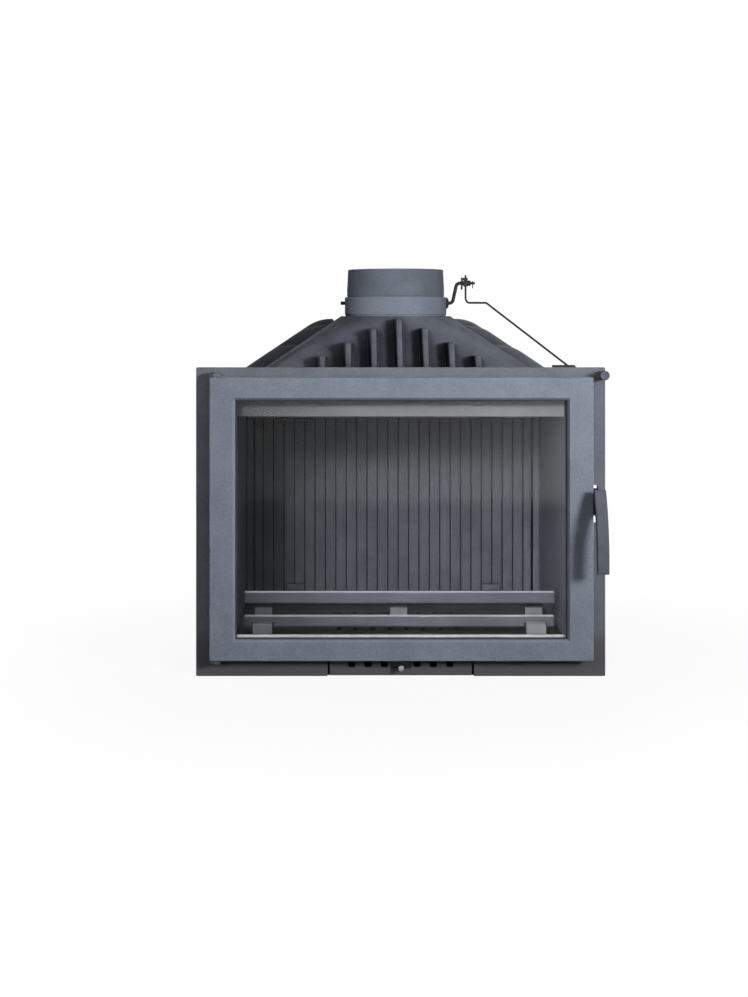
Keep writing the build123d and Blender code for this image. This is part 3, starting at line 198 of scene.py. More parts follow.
def bare_steel(name, face, shade, rough=(0.32, 0.5), line_mm=0.9, stretch=(1, 1, 14), metal=0.8,
               gloss=0.5, tint=None):
    """Rolled or drawn steel with a dull zinc or oxide skin: fine lines along the work, soft blotches."""
    material, tree = new_material(name)
    place = add_node(tree, "ShaderNodeTexCoord").outputs["Object"]
    drawn = add_node(tree, "ShaderNodeMapping", {"Vector": place, "Scale": tuple(1 / s for s in stretch)})
    lines = noise(tree, drawn.outputs["Vector"], line_mm, 2, 0.5)
    blotch = noise(tree, place, BLOTCH_MM, 3, 0.6)
    near_edge, rounded = edge_share(tree, 0.5)
    # the skin grew unevenly: blotches of two near tones
    colour = blend_colour(tree, spread(tree, blotch, 0.36, 0.66), shade, face)
    # the rolls and dies left darker lines along the work
    colour = blend_colour(tree, spread(tree, lines, 0.45, 0.72, 0, 0.7), colour, shade)
    # the arrises are rubbed a little paler
    colour = blend_colour(tree, spread(tree, near_edge, 0, 1, 0, 0.3), colour, face)
    # a tone faded in along one axis: on the deflector strip, painted shade towards its left end
    if tint:
        colour = tint_along(tree, colour, place, *tint)
    bump = add_node(tree, "ShaderNodeBump", {"Strength": 0.35, "Distance": 0.05 * MM, "Height": lines,
                                             "Normal": rounded})
    shader = add_node(tree, "ShaderNodeBsdfPrincipled", {
        "Base Color": colour, "Metallic": metal, "Specular IOR Level": gloss,
        "Normal": bump.outputs["Normal"], "Roughness": spread(tree, blotch, 0.3, 0.7, *rough)})
    add_node(tree, "ShaderNodeOutputMaterial", {"Surface": shader.outputs["BSDF"]})
    return material


RIB_MM = 2.971         # from rib to rib of the twill; real yarn is finer, and would not show
WAVE_BAND = math.tau / 10 / math.sqrt(3)      # width of one slanting band of the wave node at scale 1


def woven_glass_fibre(name, face, shade):
    """Glass-fibre yarn: pale, dry, with a fine twill that shows as slanting ribs."""
    material, tree = new_material(name)
    place = add_node(tree, "ShaderNodeTexCoord").outputs["Object"]
    wave = add_node(tree, "ShaderNodeTexWave", {
        "Vector": place, "Scale": per_metre(RIB_MM) * WAVE_BAND, "Distortion": 1.2, "Detail": 2,
        "Detail Scale": 3}, bands_direction="DIAGONAL").outputs["Fac"]
    # broken filaments stand up as a dull fluff, and smoke greys it in patches
    fluff = noise(tree, place, 0.8, 2, 0.6)
    darkening = noise(tree, place, 24)
    colour = blend_colour(tree, wave, shade, face)
    colour = blend_colour(tree, spread(tree, darkening, 0.45, 0.7, 0, 0.4), colour, shade)
    height = add_node(tree, "ShaderNodeMath", {0: wave, 1: fluff}, operation="ADD").outputs[0]
    bump = add_node(tree, "ShaderNodeBump", {"Strength": 0.8, "Distance": 0.3 * MM, "Height": height})
    shader = add_node(tree, "ShaderNodeBsdfPrincipled", {
        "Base Color": colour, "Roughness": spread(tree, fluff, 0.3, 0.7, 0.86, 0.96),
        "Normal": bump.outputs["Normal"], "Sheen Weight": 0.2})
    add_node(tree, "ShaderNodeOutputMaterial", {"Surface": shader.outputs["BSDF"]})
    return material


def ceramic_glass(name):
    """Drawn ceramic glass: very flat and faintly smoky, so it only dims a little what is behind it.

    Its low IOR stands for the weak reflection of a coated pane, and lamps shine straight through it.
    """
    material, tree = new_material(name)
    place = add_node(tree, "ShaderNodeTexCoord").outputs["Object"]
    film = spread(tree, noise(tree, place, 90, 3, 0.6), 0.35, 0.7)
    tint = blend_colour(tree, film, "#e6e6e6", "#eeeeee")
    glass = add_node(tree, "ShaderNodeBsdfPrincipled", {
        "Base Color": tint, "Roughness": 0.0, "Transmission Weight": 1.0, "IOR": 1.15})
    clear = add_node(tree, "ShaderNodeBsdfTransparent", {"Color": tint})
    shadow = add_node(tree, "ShaderNodeLightPath").outputs["Is Shadow Ray"]
    mixed = add_node(tree, "ShaderNodeMixShader", {0: shadow, 1: glass.outputs[0], 2: clear.outputs[0]})
    add_node(tree, "ShaderNodeOutputMaterial", {"Surface": mixed.outputs["Shader"]})
    return material


def make_finishes(colours):
    """All the finishes by name, in the colours that a user has set."""
    return {
        # sprayed in two coats over a fine-faced casting: an even grey-blue with faintly pale edges
        "outer": painted_casting("stove_painted_cast_iron", colours.paint, colours.paint_shade, "#b4b9c3",
                                 1.2, wear_and_highlight=0.7),
        # the frame's paint is a tone darker than the door's, painted shade for the frame behind the door,
        # and a painted shadow of the door darkens its foot
        "plate": painted_casting("stove_painted_front_plate", "#6f737d", "#676b74", "#a2a7b1", 1.2, wear_and_highlight=0.6,
                                 tint=("Z", 80, 52, "#57565b", 1.0)),
        # cast in coarser sand and hardly rubbed: dry, with painted shade darkening the roots between the
        # fins
        "rear": painted_casting("stove_painted_rear_casting", "#72767f", "#676b73", "#8b8f98", 1.6,
                                wear_and_highlight=0.45, recess_shade=0.7, edge_mm=3, crisp=True, gloss=0.004,
                                recess_span=(0.6, 1.0)),
        # spun pipe: finer skin than a sand casting, and pale edges, partly rubbed and partly a painted
        # highlight
        "flue": painted_casting("stove_painted_spun_pipe", "#6d737e", "#636973", "#9da2ac", 1.3, wear_and_highlight=0.5),
        # the hood's and the walls' rough sand face, with painted shade darkening its hollows
        "hood": painted_casting("stove_painted_hood_casting", colours.hood, "#5b5e66", "#878b94", 1.6,
                                wear_and_highlight=0.45, recess_shade=0.9, edge_mm=3, crisp=True, gloss=0.004,
                                recess_span=(0.6, 1.0)),
        # painted shade darkens the liners' narrow grooves, their flats stay grey
        "lining": painted_casting("sand_cast_iron_lining", colours.lining, "#6a6d77", "#a0a3ac", 1.4,
                                  (0.55, 0.72), recess_shade=0.95, recess_mm=7),
        # a sooty floor with painted shade in its hollows, and paler above it where its lugs stand
        "hearth": painted_casting("sooty_hearth_casting", "#55565a", "#48494d", "#a6a9b2", 1.6, (0.6, 0.75),
                                  recess_shade=0.8, recess_mm=20, tint=("Z", 60.5, 62.5, "#a6a9b2", 0.75)),
        # drawn bars, smoother than a casting, with a painted highlight and some pale ash along their upper
        # faces and edges
        "guard": painted_casting("drawn_guard_bar_paint", "#767984", "#6b6e78", "#d2d4da", 1.1, (0.45, 0.6),
                                 wear_and_highlight=1.0, edge_mm=2, ash=0.9),
        # pale where they meet the lower bar, a painted highlight, and darkened above by a painted shadow of
        # the upper bar
        "links": painted_casting("light_filed_link_iron", "#a4a7b0", "#94979f", "#e2e4ea", 1.1, (0.45, 0.6),
                                 wear_and_highlight=1.0, edge_mm=2, tint=("Z", 101.5, 104, "#2e3034", 0.85)),
        # hand-dressed before painting, so its relief is lower
        "grip": painted_casting("fine_cast_grip_paint", "#5f636c", "#54575f", "#8a8e97", 1.2,
                                relief_mm=0.05),
        # rolling scale lies in long streaks across the strip, and painted shade darkens it towards its left
        # end
        "strip": bare_steel("scale_grey_rolled_strip", "#8d8f94", "#777a7e", (0.5, 0.62), 1.1, (40, 1, 1),
                            0.0, tint=("X", 250, -250, "#67696c", 0.8)),
        # barrel-plated small parts: dull grey metal with soft blotches
        "zinc": bare_steel("dull_zinc_plated_steel", "#6a6c70", "#54565a"),
        # hot-blackened in oil: near black, with little shine
        "oxide": bare_steel("black_oxide_steel", "#303236", "#232527", (0.45, 0.62), metal=0.2, gloss=0.1),
        # turned and waxed: a satin sheen across rings from the tool
        "turned": bare_steel("turned_satin_steel", "#8b8d91", "#77797d", (0.28, 0.42), 0.7, (1, 14, 1)),
        # fresh zinc on rolled strip: the palest line in the picture, streaked lengthwise
        "bright": bare_steel("bright_zinc_plated_strip", "#e4e5e8", "#cfd0d3", (0.4, 0.5), 0.8, (30, 1, 1),
                             0.0),
        # plaited rope, and the flat tape between glass and iron, black with graphite
        "fibre": woven_glass_fibre("woven_glass_fibre", "#b4b0a6", "#8d897f"),
        "graphite": woven_glass_fibre("graphite_glass_fibre_tape", "#2c2d2f", "#1f2022"),
        "glass": ceramic_glass("clear_ceramic_glass"),
    }


NODE_FINISH = {
    "outer": "door_frame flue_collar",
    "plate": "front_frame hinge_lugs drawer_front",
    "rear": "hood_rear",
    "flue": "flue_spigot",
    "hood": "side_wall_left side_wall_right back_wall base_plate hood_front",
    "lining": "back_liner side_liner_left side_liner_right liner_clips baffle_lugs baffle_pegs baffle_plate",
    "hearth": "hearth_floor grate",
    "guard": "guard_upper_bar guard_lower_bar",
    "links": "guard_links",
    "grip": "handle_grip pull_knob hinge_pins",
    "strip": "air_deflector deflector_bolts",
    "zinc": "frame_bolts damper_screws glass_clips clip_screws handle_rivets handle_pivot pull_rod "
            "pull_rod_bush",
    "oxide": "crank_clamp clamp_screw damper_axle damper_crank damper_washer link_rod drawer_tunnel "
             "frame_brackets damper_disc damper_saddles cross_strip deflector_stiffener handle_arm "
             "latch_keeper ash_pan air_shutter",
    "turned": "shutter_knob",
    "bright": "glass_rest",
    "fibre": "door_rope_seal",
    "graphite": "glass_gasket hood_seal",
    "glass": "door_glass",
}


class FinishSettings(bpy.types.PropertyGroup):
    paint: FloatVectorProperty(name="Paint", default=linear("#7f8693")[:3], subtype="COLOR", min=0, max=1,
                               description="Colour of the stove paint on the door and the collar")
    paint_shade: FloatVectorProperty(name="Paint shade", default=linear("#767d8a")[:3], subtype="COLOR",
                                     min=0, max=1, description="Where the film of that paint lies thicker")
    hood: FloatVectorProperty(name="Hood paint", description="Colour of the paint on the hood and the walls",
                              default=linear("#6d717b")[:3], subtype="COLOR", min=0, max=1)
    lining: FloatVectorProperty(name="Lining", description="Colour of the firebox lining",
                                default=linear("#777a85")[:3], subtype="COLOR", min=0, max=1)


class INSERT_OT_finish_castings(bpy.types.Operator):
    """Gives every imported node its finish"""
    bl_idname = "insert.finish_castings"
    bl_label = "Finish castings"

    def execute(self, context):
        finishes = make_finishes(context.scene.insert_finish)
        for finish, names in NODE_FINISH.items():
            for name in names.split():
                for slot in NODES[name].material_slots:
                    slot.material = finishes[finish]
        left = set(NODES) - set(" ".join(NODE_FINISH.values()).split())
        if left:
            raise RuntimeError(f"no finish for {sorted(left)}")
        return {"FINISHED"}


# ---------------------------------------------------------------- new pieces
def start_clean():
    """Leaves edit mode and lets go of every object."""
    if bpy.context.object and bpy.context.object.mode != "OBJECT":
        bpy.ops.object.mode_set(mode="OBJECT")
    bpy.ops.object.select_all(action="DESELECT")


def settle(name):
    """Names the active piece and bakes its place into its mesh."""
    piece = bpy.context.object
    if piece.mode != "OBJECT":
        bpy.ops.object.mode_set(mode="OBJECT")
    bpy.ops.object.transform_apply(location=True, rotation=True, scale=True)
    piece.name = piece.data.name = name
    return piece


def pick(kind, test):
    """In edit mode, selects the FACEs or EDGEs that pass a test and nothing else."""
    bpy.ops.mesh.select_mode(type=kind)
    bpy.ops.mesh.select_all(action="DESELECT")
    mesh = bmesh.from_edit_mesh(bpy.context.object.data)
    chosen = [part for part in (mesh.faces if kind == "FACE" else mesh.edges) if test(part)]
    for part in chosen:
        part.select_set(True)
    bmesh.update_edit_mesh(bpy.context.object.data)
    if not chosen:
        raise RuntimeError(f"no {kind.lower()} passes the test")


def middle(edge):
    """The middle of an edge."""
    return (edge.verts[0].co + edge.verts[1].co) / 2


def join_pieces(pieces, name):
    """Joins pieces into one under a name."""
    start_clean()
    for piece in pieces:
        piece.select_set(True)
    bpy.context.view_layer.objects.active = pieces[0]
    bpy.ops.object.join()
    return settle(name)


def set_about(piece, places):
    """Copies a piece made on the Z axis to each place and direction, with meshes of their own."""
    copies = []
    for place, direction in places:
        copy = piece.copy()
        copy.data = piece.data.copy()
        turn = Vector(direction).to_track_quat("Z", "Y").to_matrix().to_4x4()
        copy.data.transform(Matrix.Translation(Vector(place)) @ turn)
        bpy.context.collection.objects.link(copy)
        copies.append(copy)
    bpy.data.objects.remove(piece)
    return copies


def finish_piece(piece, material, body, nodes, smooth_below=35):
    """Turns a piece's faces outwards, gives it its finish, and ties it to its body in place of its nodes."""
    start_clean()
    piece.select_set(True)
    bpy.context.view_layer.objects.active = piece
    bpy.ops.object.mode_set(mode="EDIT")
    bpy.ops.mesh.select_all(action="SELECT")
    bpy.ops.mesh.normals_make_consistent(inside=False)
    bpy.ops.object.mode_set(mode="OBJECT")
    piece.data.materials.clear()
    piece.data.materials.append(bpy.data.materials[material])
    bpy.ops.object.shade_smooth_by_angle(angle=math.radians(smooth_below))
    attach(piece, body)
    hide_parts(*nodes)


class SealSettings(bpy.types.PropertyGroup):
    strand: FloatProperty(name="Strand radius", description="Radius of one strand of the rope",
                          default=2.45 * MM, unit="LENGTH")
    lay: FloatProperty(name="Lay radius", description="Distance of each strand from the rope's middle",
                       default=2.1 * MM, unit="LENGTH")
    turns: IntProperty(name="Turns", default=92, min=4,
                       description="Full twists of the strands round the door")
    half_width: FloatProperty(name="Half width", description="Half the width of the rope's centre line",
                              default=305.75 * MM, unit="LENGTH")
    foot: FloatProperty(name="Foot", description="Height of the lower run", default=48.05 * MM,
                        unit="LENGTH")
    head: FloatProperty(name="Head", description="Height of the upper run", default=496.95 * MM,
                        unit="LENGTH")
    corner: FloatProperty(name="Corner radius", description="Bend of the rope in the corners",
                          default=10.5 * MM, unit="LENGTH")
    depth: FloatProperty(name="Depth", description="Y of the rope's middle", default=-225.2 * MM,
                         unit="LENGTH")


STRANDS, STRAND_SIDES, STEPS_A_TURN = 3, 8, 9
CORNER_STEPS = 8
SEAM = 0.3 * MM        # the rope's two ends meet within this, and are welded


class INSERT_OT_add_rope_seal(bpy.types.Operator):
    """Lays the twisted glass-fibre rope into the groove round the back of the door"""
    bl_idname = "insert.add_rope_seal"
    bl_label = "Add rope seal"

    def execute(self, context):
        settings = context.scene.insert_seal
        start_clean()
        width, height = 2 * settings.half_width, settings.head - settings.foot
        # each round corner is shorter than the square one it replaces
        length = 2 * (width + height) - (8 - math.tau) * settings.corner
        strands = []
        for i in range(STRANDS):
            bpy.ops.mesh.primitive_circle_add(vertices=STRAND_SIDES, radius=settings.strand,
                                              location=(settings.lay, 0, 0), rotation=(math.pi / 2, 0, 0))
            strand = settle(f"rope_strand_{i}")
            bpy.ops.object.mode_set(mode="EDIT")
            bpy.ops.mesh.select_all(action="SELECT")
            bpy.ops.transform.rotate(value=i * math.tau / STRANDS, orient_axis="Z",
                                     center_override=(0, 0, 0))
            bpy.ops.object.mode_set(mode="OBJECT")
            screw = strand.modifiers.new("twist", "SCREW")
            screw.axis = "Z"
            screw.angle = settings.turns * math.tau
            screw.screw_offset = length
            screw.steps = screw.render_steps = settings.turns * STEPS_A_TURN
            bpy.ops.object.modifier_apply(modifier="twist")
            strands.append(strand)
        rope = join_pieces(strands, "twisted_rope_seal")

        start_clean()
        middle_z = (settings.head + settings.foot) / 2
        bpy.ops.mesh.primitive_plane_add(size=1, location=(0, settings.depth, middle_z),
                                         rotation=(math.pi / 2, 0, 0))
        path = context.object
        path.scale = (width, height, 1)
        settle("rope_path")
        bpy.ops.object.mode_set(mode="EDIT")
        bpy.ops.mesh.select_all(action="SELECT")
        bpy.ops.mesh.bevel(offset=settings.corner, segments=CORNER_STEPS, affect="VERTICES")
        bpy.ops.mesh.delete(type="ONLY_FACE")
        bpy.ops.object.mode_set(mode="OBJECT")
        bpy.ops.object.convert(target="CURVE")
        path = context.object
        path.data.use_stretch = path.data.use_deform_bounds = True

        start_clean()
        rope.select_set(True)
        context.view_layer.objects.active = rope
        bend = rope.modifiers.new("bend", "CURVE")
        bend.object = path
        bend.deform_axis = "POS_Z"
        bpy.ops.object.modifier_apply(modifier="bend")
        bpy.data.objects.remove(path)
        bpy.ops.object.mode_set(mode="EDIT")
        bpy.ops.mesh.select_all(action="SELECT")
        bpy.ops.mesh.remove_doubles(threshold=SEAM)
        bpy.ops.object.mode_set(mode="OBJECT")
        finish_piece(rope, "woven_glass_fibre", "door", ["door_rope_seal"], 60)
        return {"FINISHED"}


class BoltSettings(bpy.types.PropertyGroup):
    corners: FloatProperty(name="Head corners", description="Radius to the corners of the hexagon head",
                           default=6.5 * MM, unit="LENGTH")
    head: FloatProperty(name="Head height", description="Height of the head above its washer",
                        default=3.6 * MM, unit="LENGTH")
    washer: FloatProperty(name="Washer radius", description="Radius of the washer", default=8 * MM,
                          unit="LENGTH")
    washer_height: FloatProperty(name="Washer height", description="Thickness of the washer",
                                 default=1.4 * MM, unit="LENGTH")
    shank: FloatProperty(name="Shank radius", description="Radius of the bolt's shank", default=4 * MM,
                         unit="LENGTH")
    reach: FloatProperty(name="Reach", description="How far the shank goes in below the washer",
                         default=9 * MM, unit="LENGTH")
    chamfer: FloatProperty(name="Chamfer", description="Chamfer round the top of the head",
                           default=0.7 * MM, unit="LENGTH")


# where the brackets' bolts sit: through the side walls, and through the frame's flange
BOLT_HEIGHTS = (80 * MM, 430 * MM)
WALL_SEAT_X, WALL_BOLT_Y = 305 * MM, -194 * MM
FLANGE_BOLT_X, FLANGE_SEAT_Y = 318 * MM, -207 * MM


class INSERT_OT_add_frame_bolts(bpy.types.Operator):
    """Sets the hexagon bolts that hold the corner brackets to the frame and the walls"""
    bl_idname = "insert.add_frame_bolts"
    bl_label = "Add frame bolts"

    def execute(self, context):
        settings = context.scene.insert_bolt
        start_clean()
        seat, reach = settings.washer_height, settings.reach
        bpy.ops.mesh.primitive_cylinder_add(vertices=6, radius=settings.corners, depth=settings.head,
                                            location=(0, 0, seat + settings.head / 2))
        settle("frame_bolt")
        bpy.ops.object.mode_set(mode="EDIT")
        pick("EDGE", lambda edge: middle(edge).z > seat + 0.99 * settings.head)
        bpy.ops.mesh.bevel(offset=settings.chamfer, segments=2)
        pick("FACE", lambda face: face.normal.z > 0.99)
        # the shallow dish that forging leaves in the head
        bpy.ops.mesh.inset(thickness=2 * settings.chamfer, depth=-0.25 * MM)
        bpy.ops.mesh.primitive_cylinder_add(vertices=40, radius=settings.washer, depth=seat,
                                            location=(0, 0, seat / 2))
        rim = 0.97 * settings.washer
        pick("EDGE", lambda edge: all(v.co.z > 0.9 * seat for v in edge.verts)
             and middle(edge).xy.length > rim)
        bpy.ops.mesh.bevel(offset=0.35 * MM, segments=2)
        bpy.ops.mesh.primitive_cylinder_add(vertices=24, radius=settings.shank, depth=reach + seat,
                                            location=(0, 0, (seat - reach) / 2))
        bolt = settle("frame_bolt")
        spots = [(side, z) for side in (-1, 1) for z in BOLT_HEIGHTS]
        places = [((side * WALL_SEAT_X, WALL_BOLT_Y, z), (side, 0, 0)) for side, z in spots]
        places += [((side * FLANGE_BOLT_X, FLANGE_SEAT_Y, z), (0, 1, 0)) for side, z in spots]
        bolts = join_pieces(set_about(bolt, places), "hexagon_frame_bolts")
        finish_piece(bolts, "dull_zinc_plated_steel", "body", ["frame_bolts"], 28)
        return {"FINISHED"}


class ClipScrewSettings(bpy.types.PropertyGroup):
    head: FloatProperty(name="Head radius", description="Radius of the pan head", default=3.6 * MM,
                        unit="LENGTH")
    height: FloatProperty(name="Head height", description="Height of the pan head", default=2.2 * MM,
                          unit="LENGTH")
    slot: FloatProperty(name="Slot width", description="Width of the driver slot", default=0.9 * MM,
                        unit="LENGTH")
    slot_depth: FloatProperty(name="Slot depth", description="Depth of the driver slot", default=1.1 * MM,
                              unit="LENGTH")
    shank: FloatProperty(name="Shank radius", description="Radius of the threaded shank", default=2 * MM,
                         unit="LENGTH")
    reach: FloatProperty(name="Reach", description="Length of the shank below the head", default=7 * MM,
                         unit="LENGTH")


# on the backs of the glass clips, three at each side of the window
CLIP_SCREW_X, CLIP_SCREW_Y = 293.5 * MM, -230.4 * MM
CLIP_SCREW_HEIGHTS = (110 * MM, 271 * MM, 432 * MM)


class INSERT_OT_add_clip_screws(bpy.types.Operator):
    """Sets the slotted pan-head screws of the glass clips"""
    bl_idname = "insert.add_clip_screws"
    bl_label = "Add clip screws"

    def execute(self, context):
        settings = context.scene.insert_clip_screw
        start_clean()
        bpy.ops.mesh.primitive_cylinder_add(vertices=36, radius=settings.head, depth=settings.height,
                                            location=(0, 0, settings.height / 2))
        settle("clip_screw")
        bpy.ops.object.mode_set(mode="EDIT")
        pick("EDGE", lambda edge: all(v.co.z > 0.9 * settings.height for v in edge.verts))
        bpy.ops.mesh.bevel(offset=0.9 * MM, segments=4)
        for side in (-1, 1):
            bpy.ops.mesh.select_all(action="SELECT")
            bpy.ops.mesh.bisect(plane_co=(side * settings.slot / 2, 0, 0), plane_no=(1, 0, 0))
        pick("FACE", lambda face: face.normal.z > 0.3
             and abs(face.calc_center_median().x) < 0.45 * settings.slot)
        bpy.ops.mesh.extrude_region_move(TRANSFORM_OT_translate={"value": (0, 0, -settings.slot_depth)})
        bpy.ops.mesh.primitive_cylinder_add(vertices=20, radius=settings.shank, depth=settings.reach,
                                            location=(0, 0, -settings.reach / 2))
        screw = settle("clip_screw")
        places = [((side * CLIP_SCREW_X, CLIP_SCREW_Y, z), (0, 1, 0))
                  for side in (-1, 1) for z in CLIP_SCREW_HEIGHTS]
        screws = join_pieces(set_about(screw, places), "slotted_clip_screws")
        finish_piece(screws, "dull_zinc_plated_steel", "door", ["clip_screws"], 30)
        return {"FINISHED"}


class PullKnobSettings(bpy.types.PropertyGroup):
    radius: FloatProperty(name="Radius", description="Radius of the knob", default=8.2 * MM, unit="LENGTH")
    rim: FloatProperty(name="Rim", description="Width of the knob's raised rim", default=1.6 * MM,
                       unit="LENGTH")
    dish: FloatProperty(name="Dish", description="Depth of the turned face", default=0.7 * MM, unit="LENGTH")
    groove: FloatProperty(name="Groove", description="Depth of the finger groove", default=0.9 * MM,
                          unit="LENGTH")


KNOB_X, KNOB_Z = 344.8 * MM, 515 * MM
KNOB_FRONT, KNOB_BACK = -247 * MM, -227 * MM
GROOVE = (0.45, 0.62)  # where the finger groove lies along the knob, from its front
TOUCHES = 1e-6         # vertices this near a plane lie on it


class INSERT_OT_add_pull_knob(bpy.types.Operator):
    """Makes the turned round knob of the damper pull"""
    bl_idname = "insert.add_pull_knob"
    bl_label = "Add pull knob"

    def execute(self, context):
        settings = context.scene.insert_pull_knob
        start_clean()
        near, far = KNOB_FRONT, KNOB_BACK
        bpy.ops.mesh.primitive_cylinder_add(vertices=64, radius=settings.radius, depth=far - near,
                                            location=(KNOB_X, (near + far) / 2, KNOB_Z),
                                            rotation=(math.pi / 2, 0, 0))
        settle("turned_pull_knob")
        bpy.ops.object.mode_set(mode="EDIT")
        for ring in GROOVE:
            bpy.ops.mesh.select_all(action="SELECT")
            bpy.ops.mesh.bisect(plane_co=(KNOB_X, near + ring * (far - near), KNOB_Z), plane_no=(0, 1, 0))
        # a shallow finger groove between the two rings
        pick("FACE", lambda face: abs(face.normal.y) < 0.5
             and GROOVE[0] < (face.calc_center_median().y - near) / (far - near) < GROOVE[1])
        bpy.ops.mesh.inset(thickness=0.5 * MM, depth=-settings.groove)
        pick("EDGE", lambda edge: all(abs(v.co.y - near) < TOUCHES for v in edge.verts))
        bpy.ops.mesh.bevel(offset=1.3 * MM, segments=4)
        pick("FACE", lambda face: face.normal.y < -0.99)
        bpy.ops.mesh.inset(thickness=settings.rim, depth=0)
        bpy.ops.mesh.inset(thickness=0.5 * MM, depth=-settings.dish)
        pick("EDGE", lambda edge: all(abs(v.co.y - far) < TOUCHES for v in edge.verts))
        bpy.ops.mesh.bevel(offset=1.2 * MM, segments=3)
        knob = settle("turned_pull_knob")
        finish_piece(knob, "fine_cast_grip_paint", "pull", ["pull_knob"], 40)
        return {"FINISHED"}


# ---------------------------------------------------------------- stage
class StageSettings(bpy.types.PropertyGroup):
    camera_place: FloatVectorProperty(name="Camera place", description="Where the camera stands",
                                      default=(-0.1135, -2.820, 0.6124), subtype="TRANSLATION",
                                      unit="LENGTH")
    lens: FloatProperty(name="Lens", description="Focal length on a 36 mm frame", default=54.9, min=20)
    shift: FloatVectorProperty(name="Shift", description="Lens shift that frames the object", size=2,
                               default=(0.0398, -0.181))
    fill: FloatProperty(name="Fill", default=0.03, min=0,
                        description="Strength of the light from all round")
    glare: FloatProperty(name="Glare", default=12, min=0,
                         description="Brightness of the card that the glass reflects")
    top_power: FloatProperty(name="Top power", default=5, unit="POWER",
                             description="Power of the soft lamp above the front")
    key_power: FloatProperty(name="Key power", default=7, unit="POWER",
                             description="Power of the lamp at the front right")
    side_power: FloatProperty(name="Side power", default=4, unit="POWER",
                              description="Power of the lamp at the right side")
    front_left_power: FloatProperty(name="Front left power", default=11, unit="POWER",
                                    description="Power of the weak lamp at the front left")
    flue_power: FloatProperty(name="Flue power", default=50, unit="POWER",
                              description="Power of the lamp that models the flue collar")
    hearth_power: FloatProperty(name="Hearth power", default=6, unit="POWER",
                                description="Power of the lamp over the log guard")
    back_power: FloatProperty(name="Back power", default=36, unit="POWER",
                              description="Power of the lamp behind the insert")
    left_power: FloatProperty(name="Left power", default=18, unit="POWER",
                              description="Power of the lamp at the rear left")
    spot_power: FloatProperty(name="Spot power", default=180, unit="POWER",
                              description="Power of the spot that shines into the firebox")


AREA_LAMPS = (
    # name, settings key, place, size in metres, spread in degrees, what it lights
    ("lamp_top", "top_power", (-0.1, -1.2, 1.6), 0.8, 180, "all"),
    ("lamp_front_right", "key_power", (1.48, -1.88, 0.88), 0.5, 60, "outside"),
    ("lamp_side_right", "side_power", (1.90, -0.70, 1.02), 0.7, 180, "outside"),
    ("lamp_front_left", "front_left_power", (-1.3, -2.0, 0.8), 0.7, 180, "front"),
    ("lamp_flue", "flue_power", (0.45, -2.2, 0.9), 0.4, 180, "flue"),
    ("lamp_hearth", "hearth_power", (0.0, -0.85, 1.40), 0.3, 180, "firebox"),
    ("lamp_back", "back_power", (0.3, 2.1, 1.0), 1.0, 180, "all"),
    ("lamp_rear_left", "left_power", (-1.7, 1.0, 0.6), 0.8, 180, "outside"),
)
# pieces that have lamps of their own; the rest of the outside is the group "front"
LIT_APART = {
    "firebox": "back_liner side_liner_left side_liner_right liner_clips baffle_lugs baffle_pegs "
               "baffle_plate hearth_floor grate guard_upper_bar guard_lower_bar guard_links "
               "air_deflector deflector_bolts door_glass",
    "flue": "flue_spigot flue_collar",
    "hood": "hood_front hood_seal",
}
LAMP_AIM = Vector((0, -0.2, 0.50))
SPOT_PLACE, SPOT_AIM = Vector((-0.62, -2.40, 1.14)), Vector((0.19, 0.0, 0.22))
SPOT_ANGLE, SPOT_BLEND, SPOT_RADIUS = 19, 0.4, 0.16


def aim_lamp(lamp, target):
    """Turns a lamp towards a point."""
    lamp.rotation_euler = (lamp.location - target).to_track_quat("Z", "Y").to_euler()


def add_lamps(settings):
    """The soft lamps round the object and the spot into the firebox, kept apart as by a studio's flags."""
    groups = {name: bpy.data.collections.new(f"lit_{name}") for name in ("outside", "front", *LIT_APART)}
    for piece in list(bpy.data.objects):
        if piece.type == "MESH":
            kinds = [kind for kind, names in LIT_APART.items() if piece.name in names.split()]
            groups[kinds[0] if kinds else "front"].objects.link(piece)
    for kind in ("front", "hood"):
        groups["outside"].children.link(groups[kind])
    for name, power, place, size, opening, group in AREA_LAMPS:
        bpy.ops.object.light_add(type="AREA", location=place)
        lamp = bpy.context.object
        lamp.name = name
        lamp.data.size = size
        lamp.data.spread = math.radians(opening)
        lamp.data.energy = getattr(settings, power)
        lamp.visible_transmission = False
        # from behind, a lamp would only glint on the arrises of the matt hood
        lamp.visible_glossy = name != "lamp_back"
        aim_lamp(lamp, LAMP_AIM)
        if group in groups:
            lamp.light_linking.receiver_collection = groups[group]
    bpy.ops.object.light_add(type="SPOT", location=SPOT_PLACE)
    spot = bpy.context.object
    spot.name = "spot_firebox"
    spot.data.energy = settings.spot_power
    spot.data.spot_size = math.radians(SPOT_ANGLE)
    spot.data.spot_blend = SPOT_BLEND
    spot.data.shadow_soft_size = SPOT_RADIUS
    spot.light_linking.receiver_collection = groups["firebox"]
    aim_lamp(spot, SPOT_AIM)


CARD_SIDES, CARD_ENDS, CARD_Y = (-0.48, 0.62), (0.10, 0.62), -1.6
CARD_DIM_SIDE = 0.12   # how bright its left side is beside its right side
CARD_SOFT_EDGE = 0.05


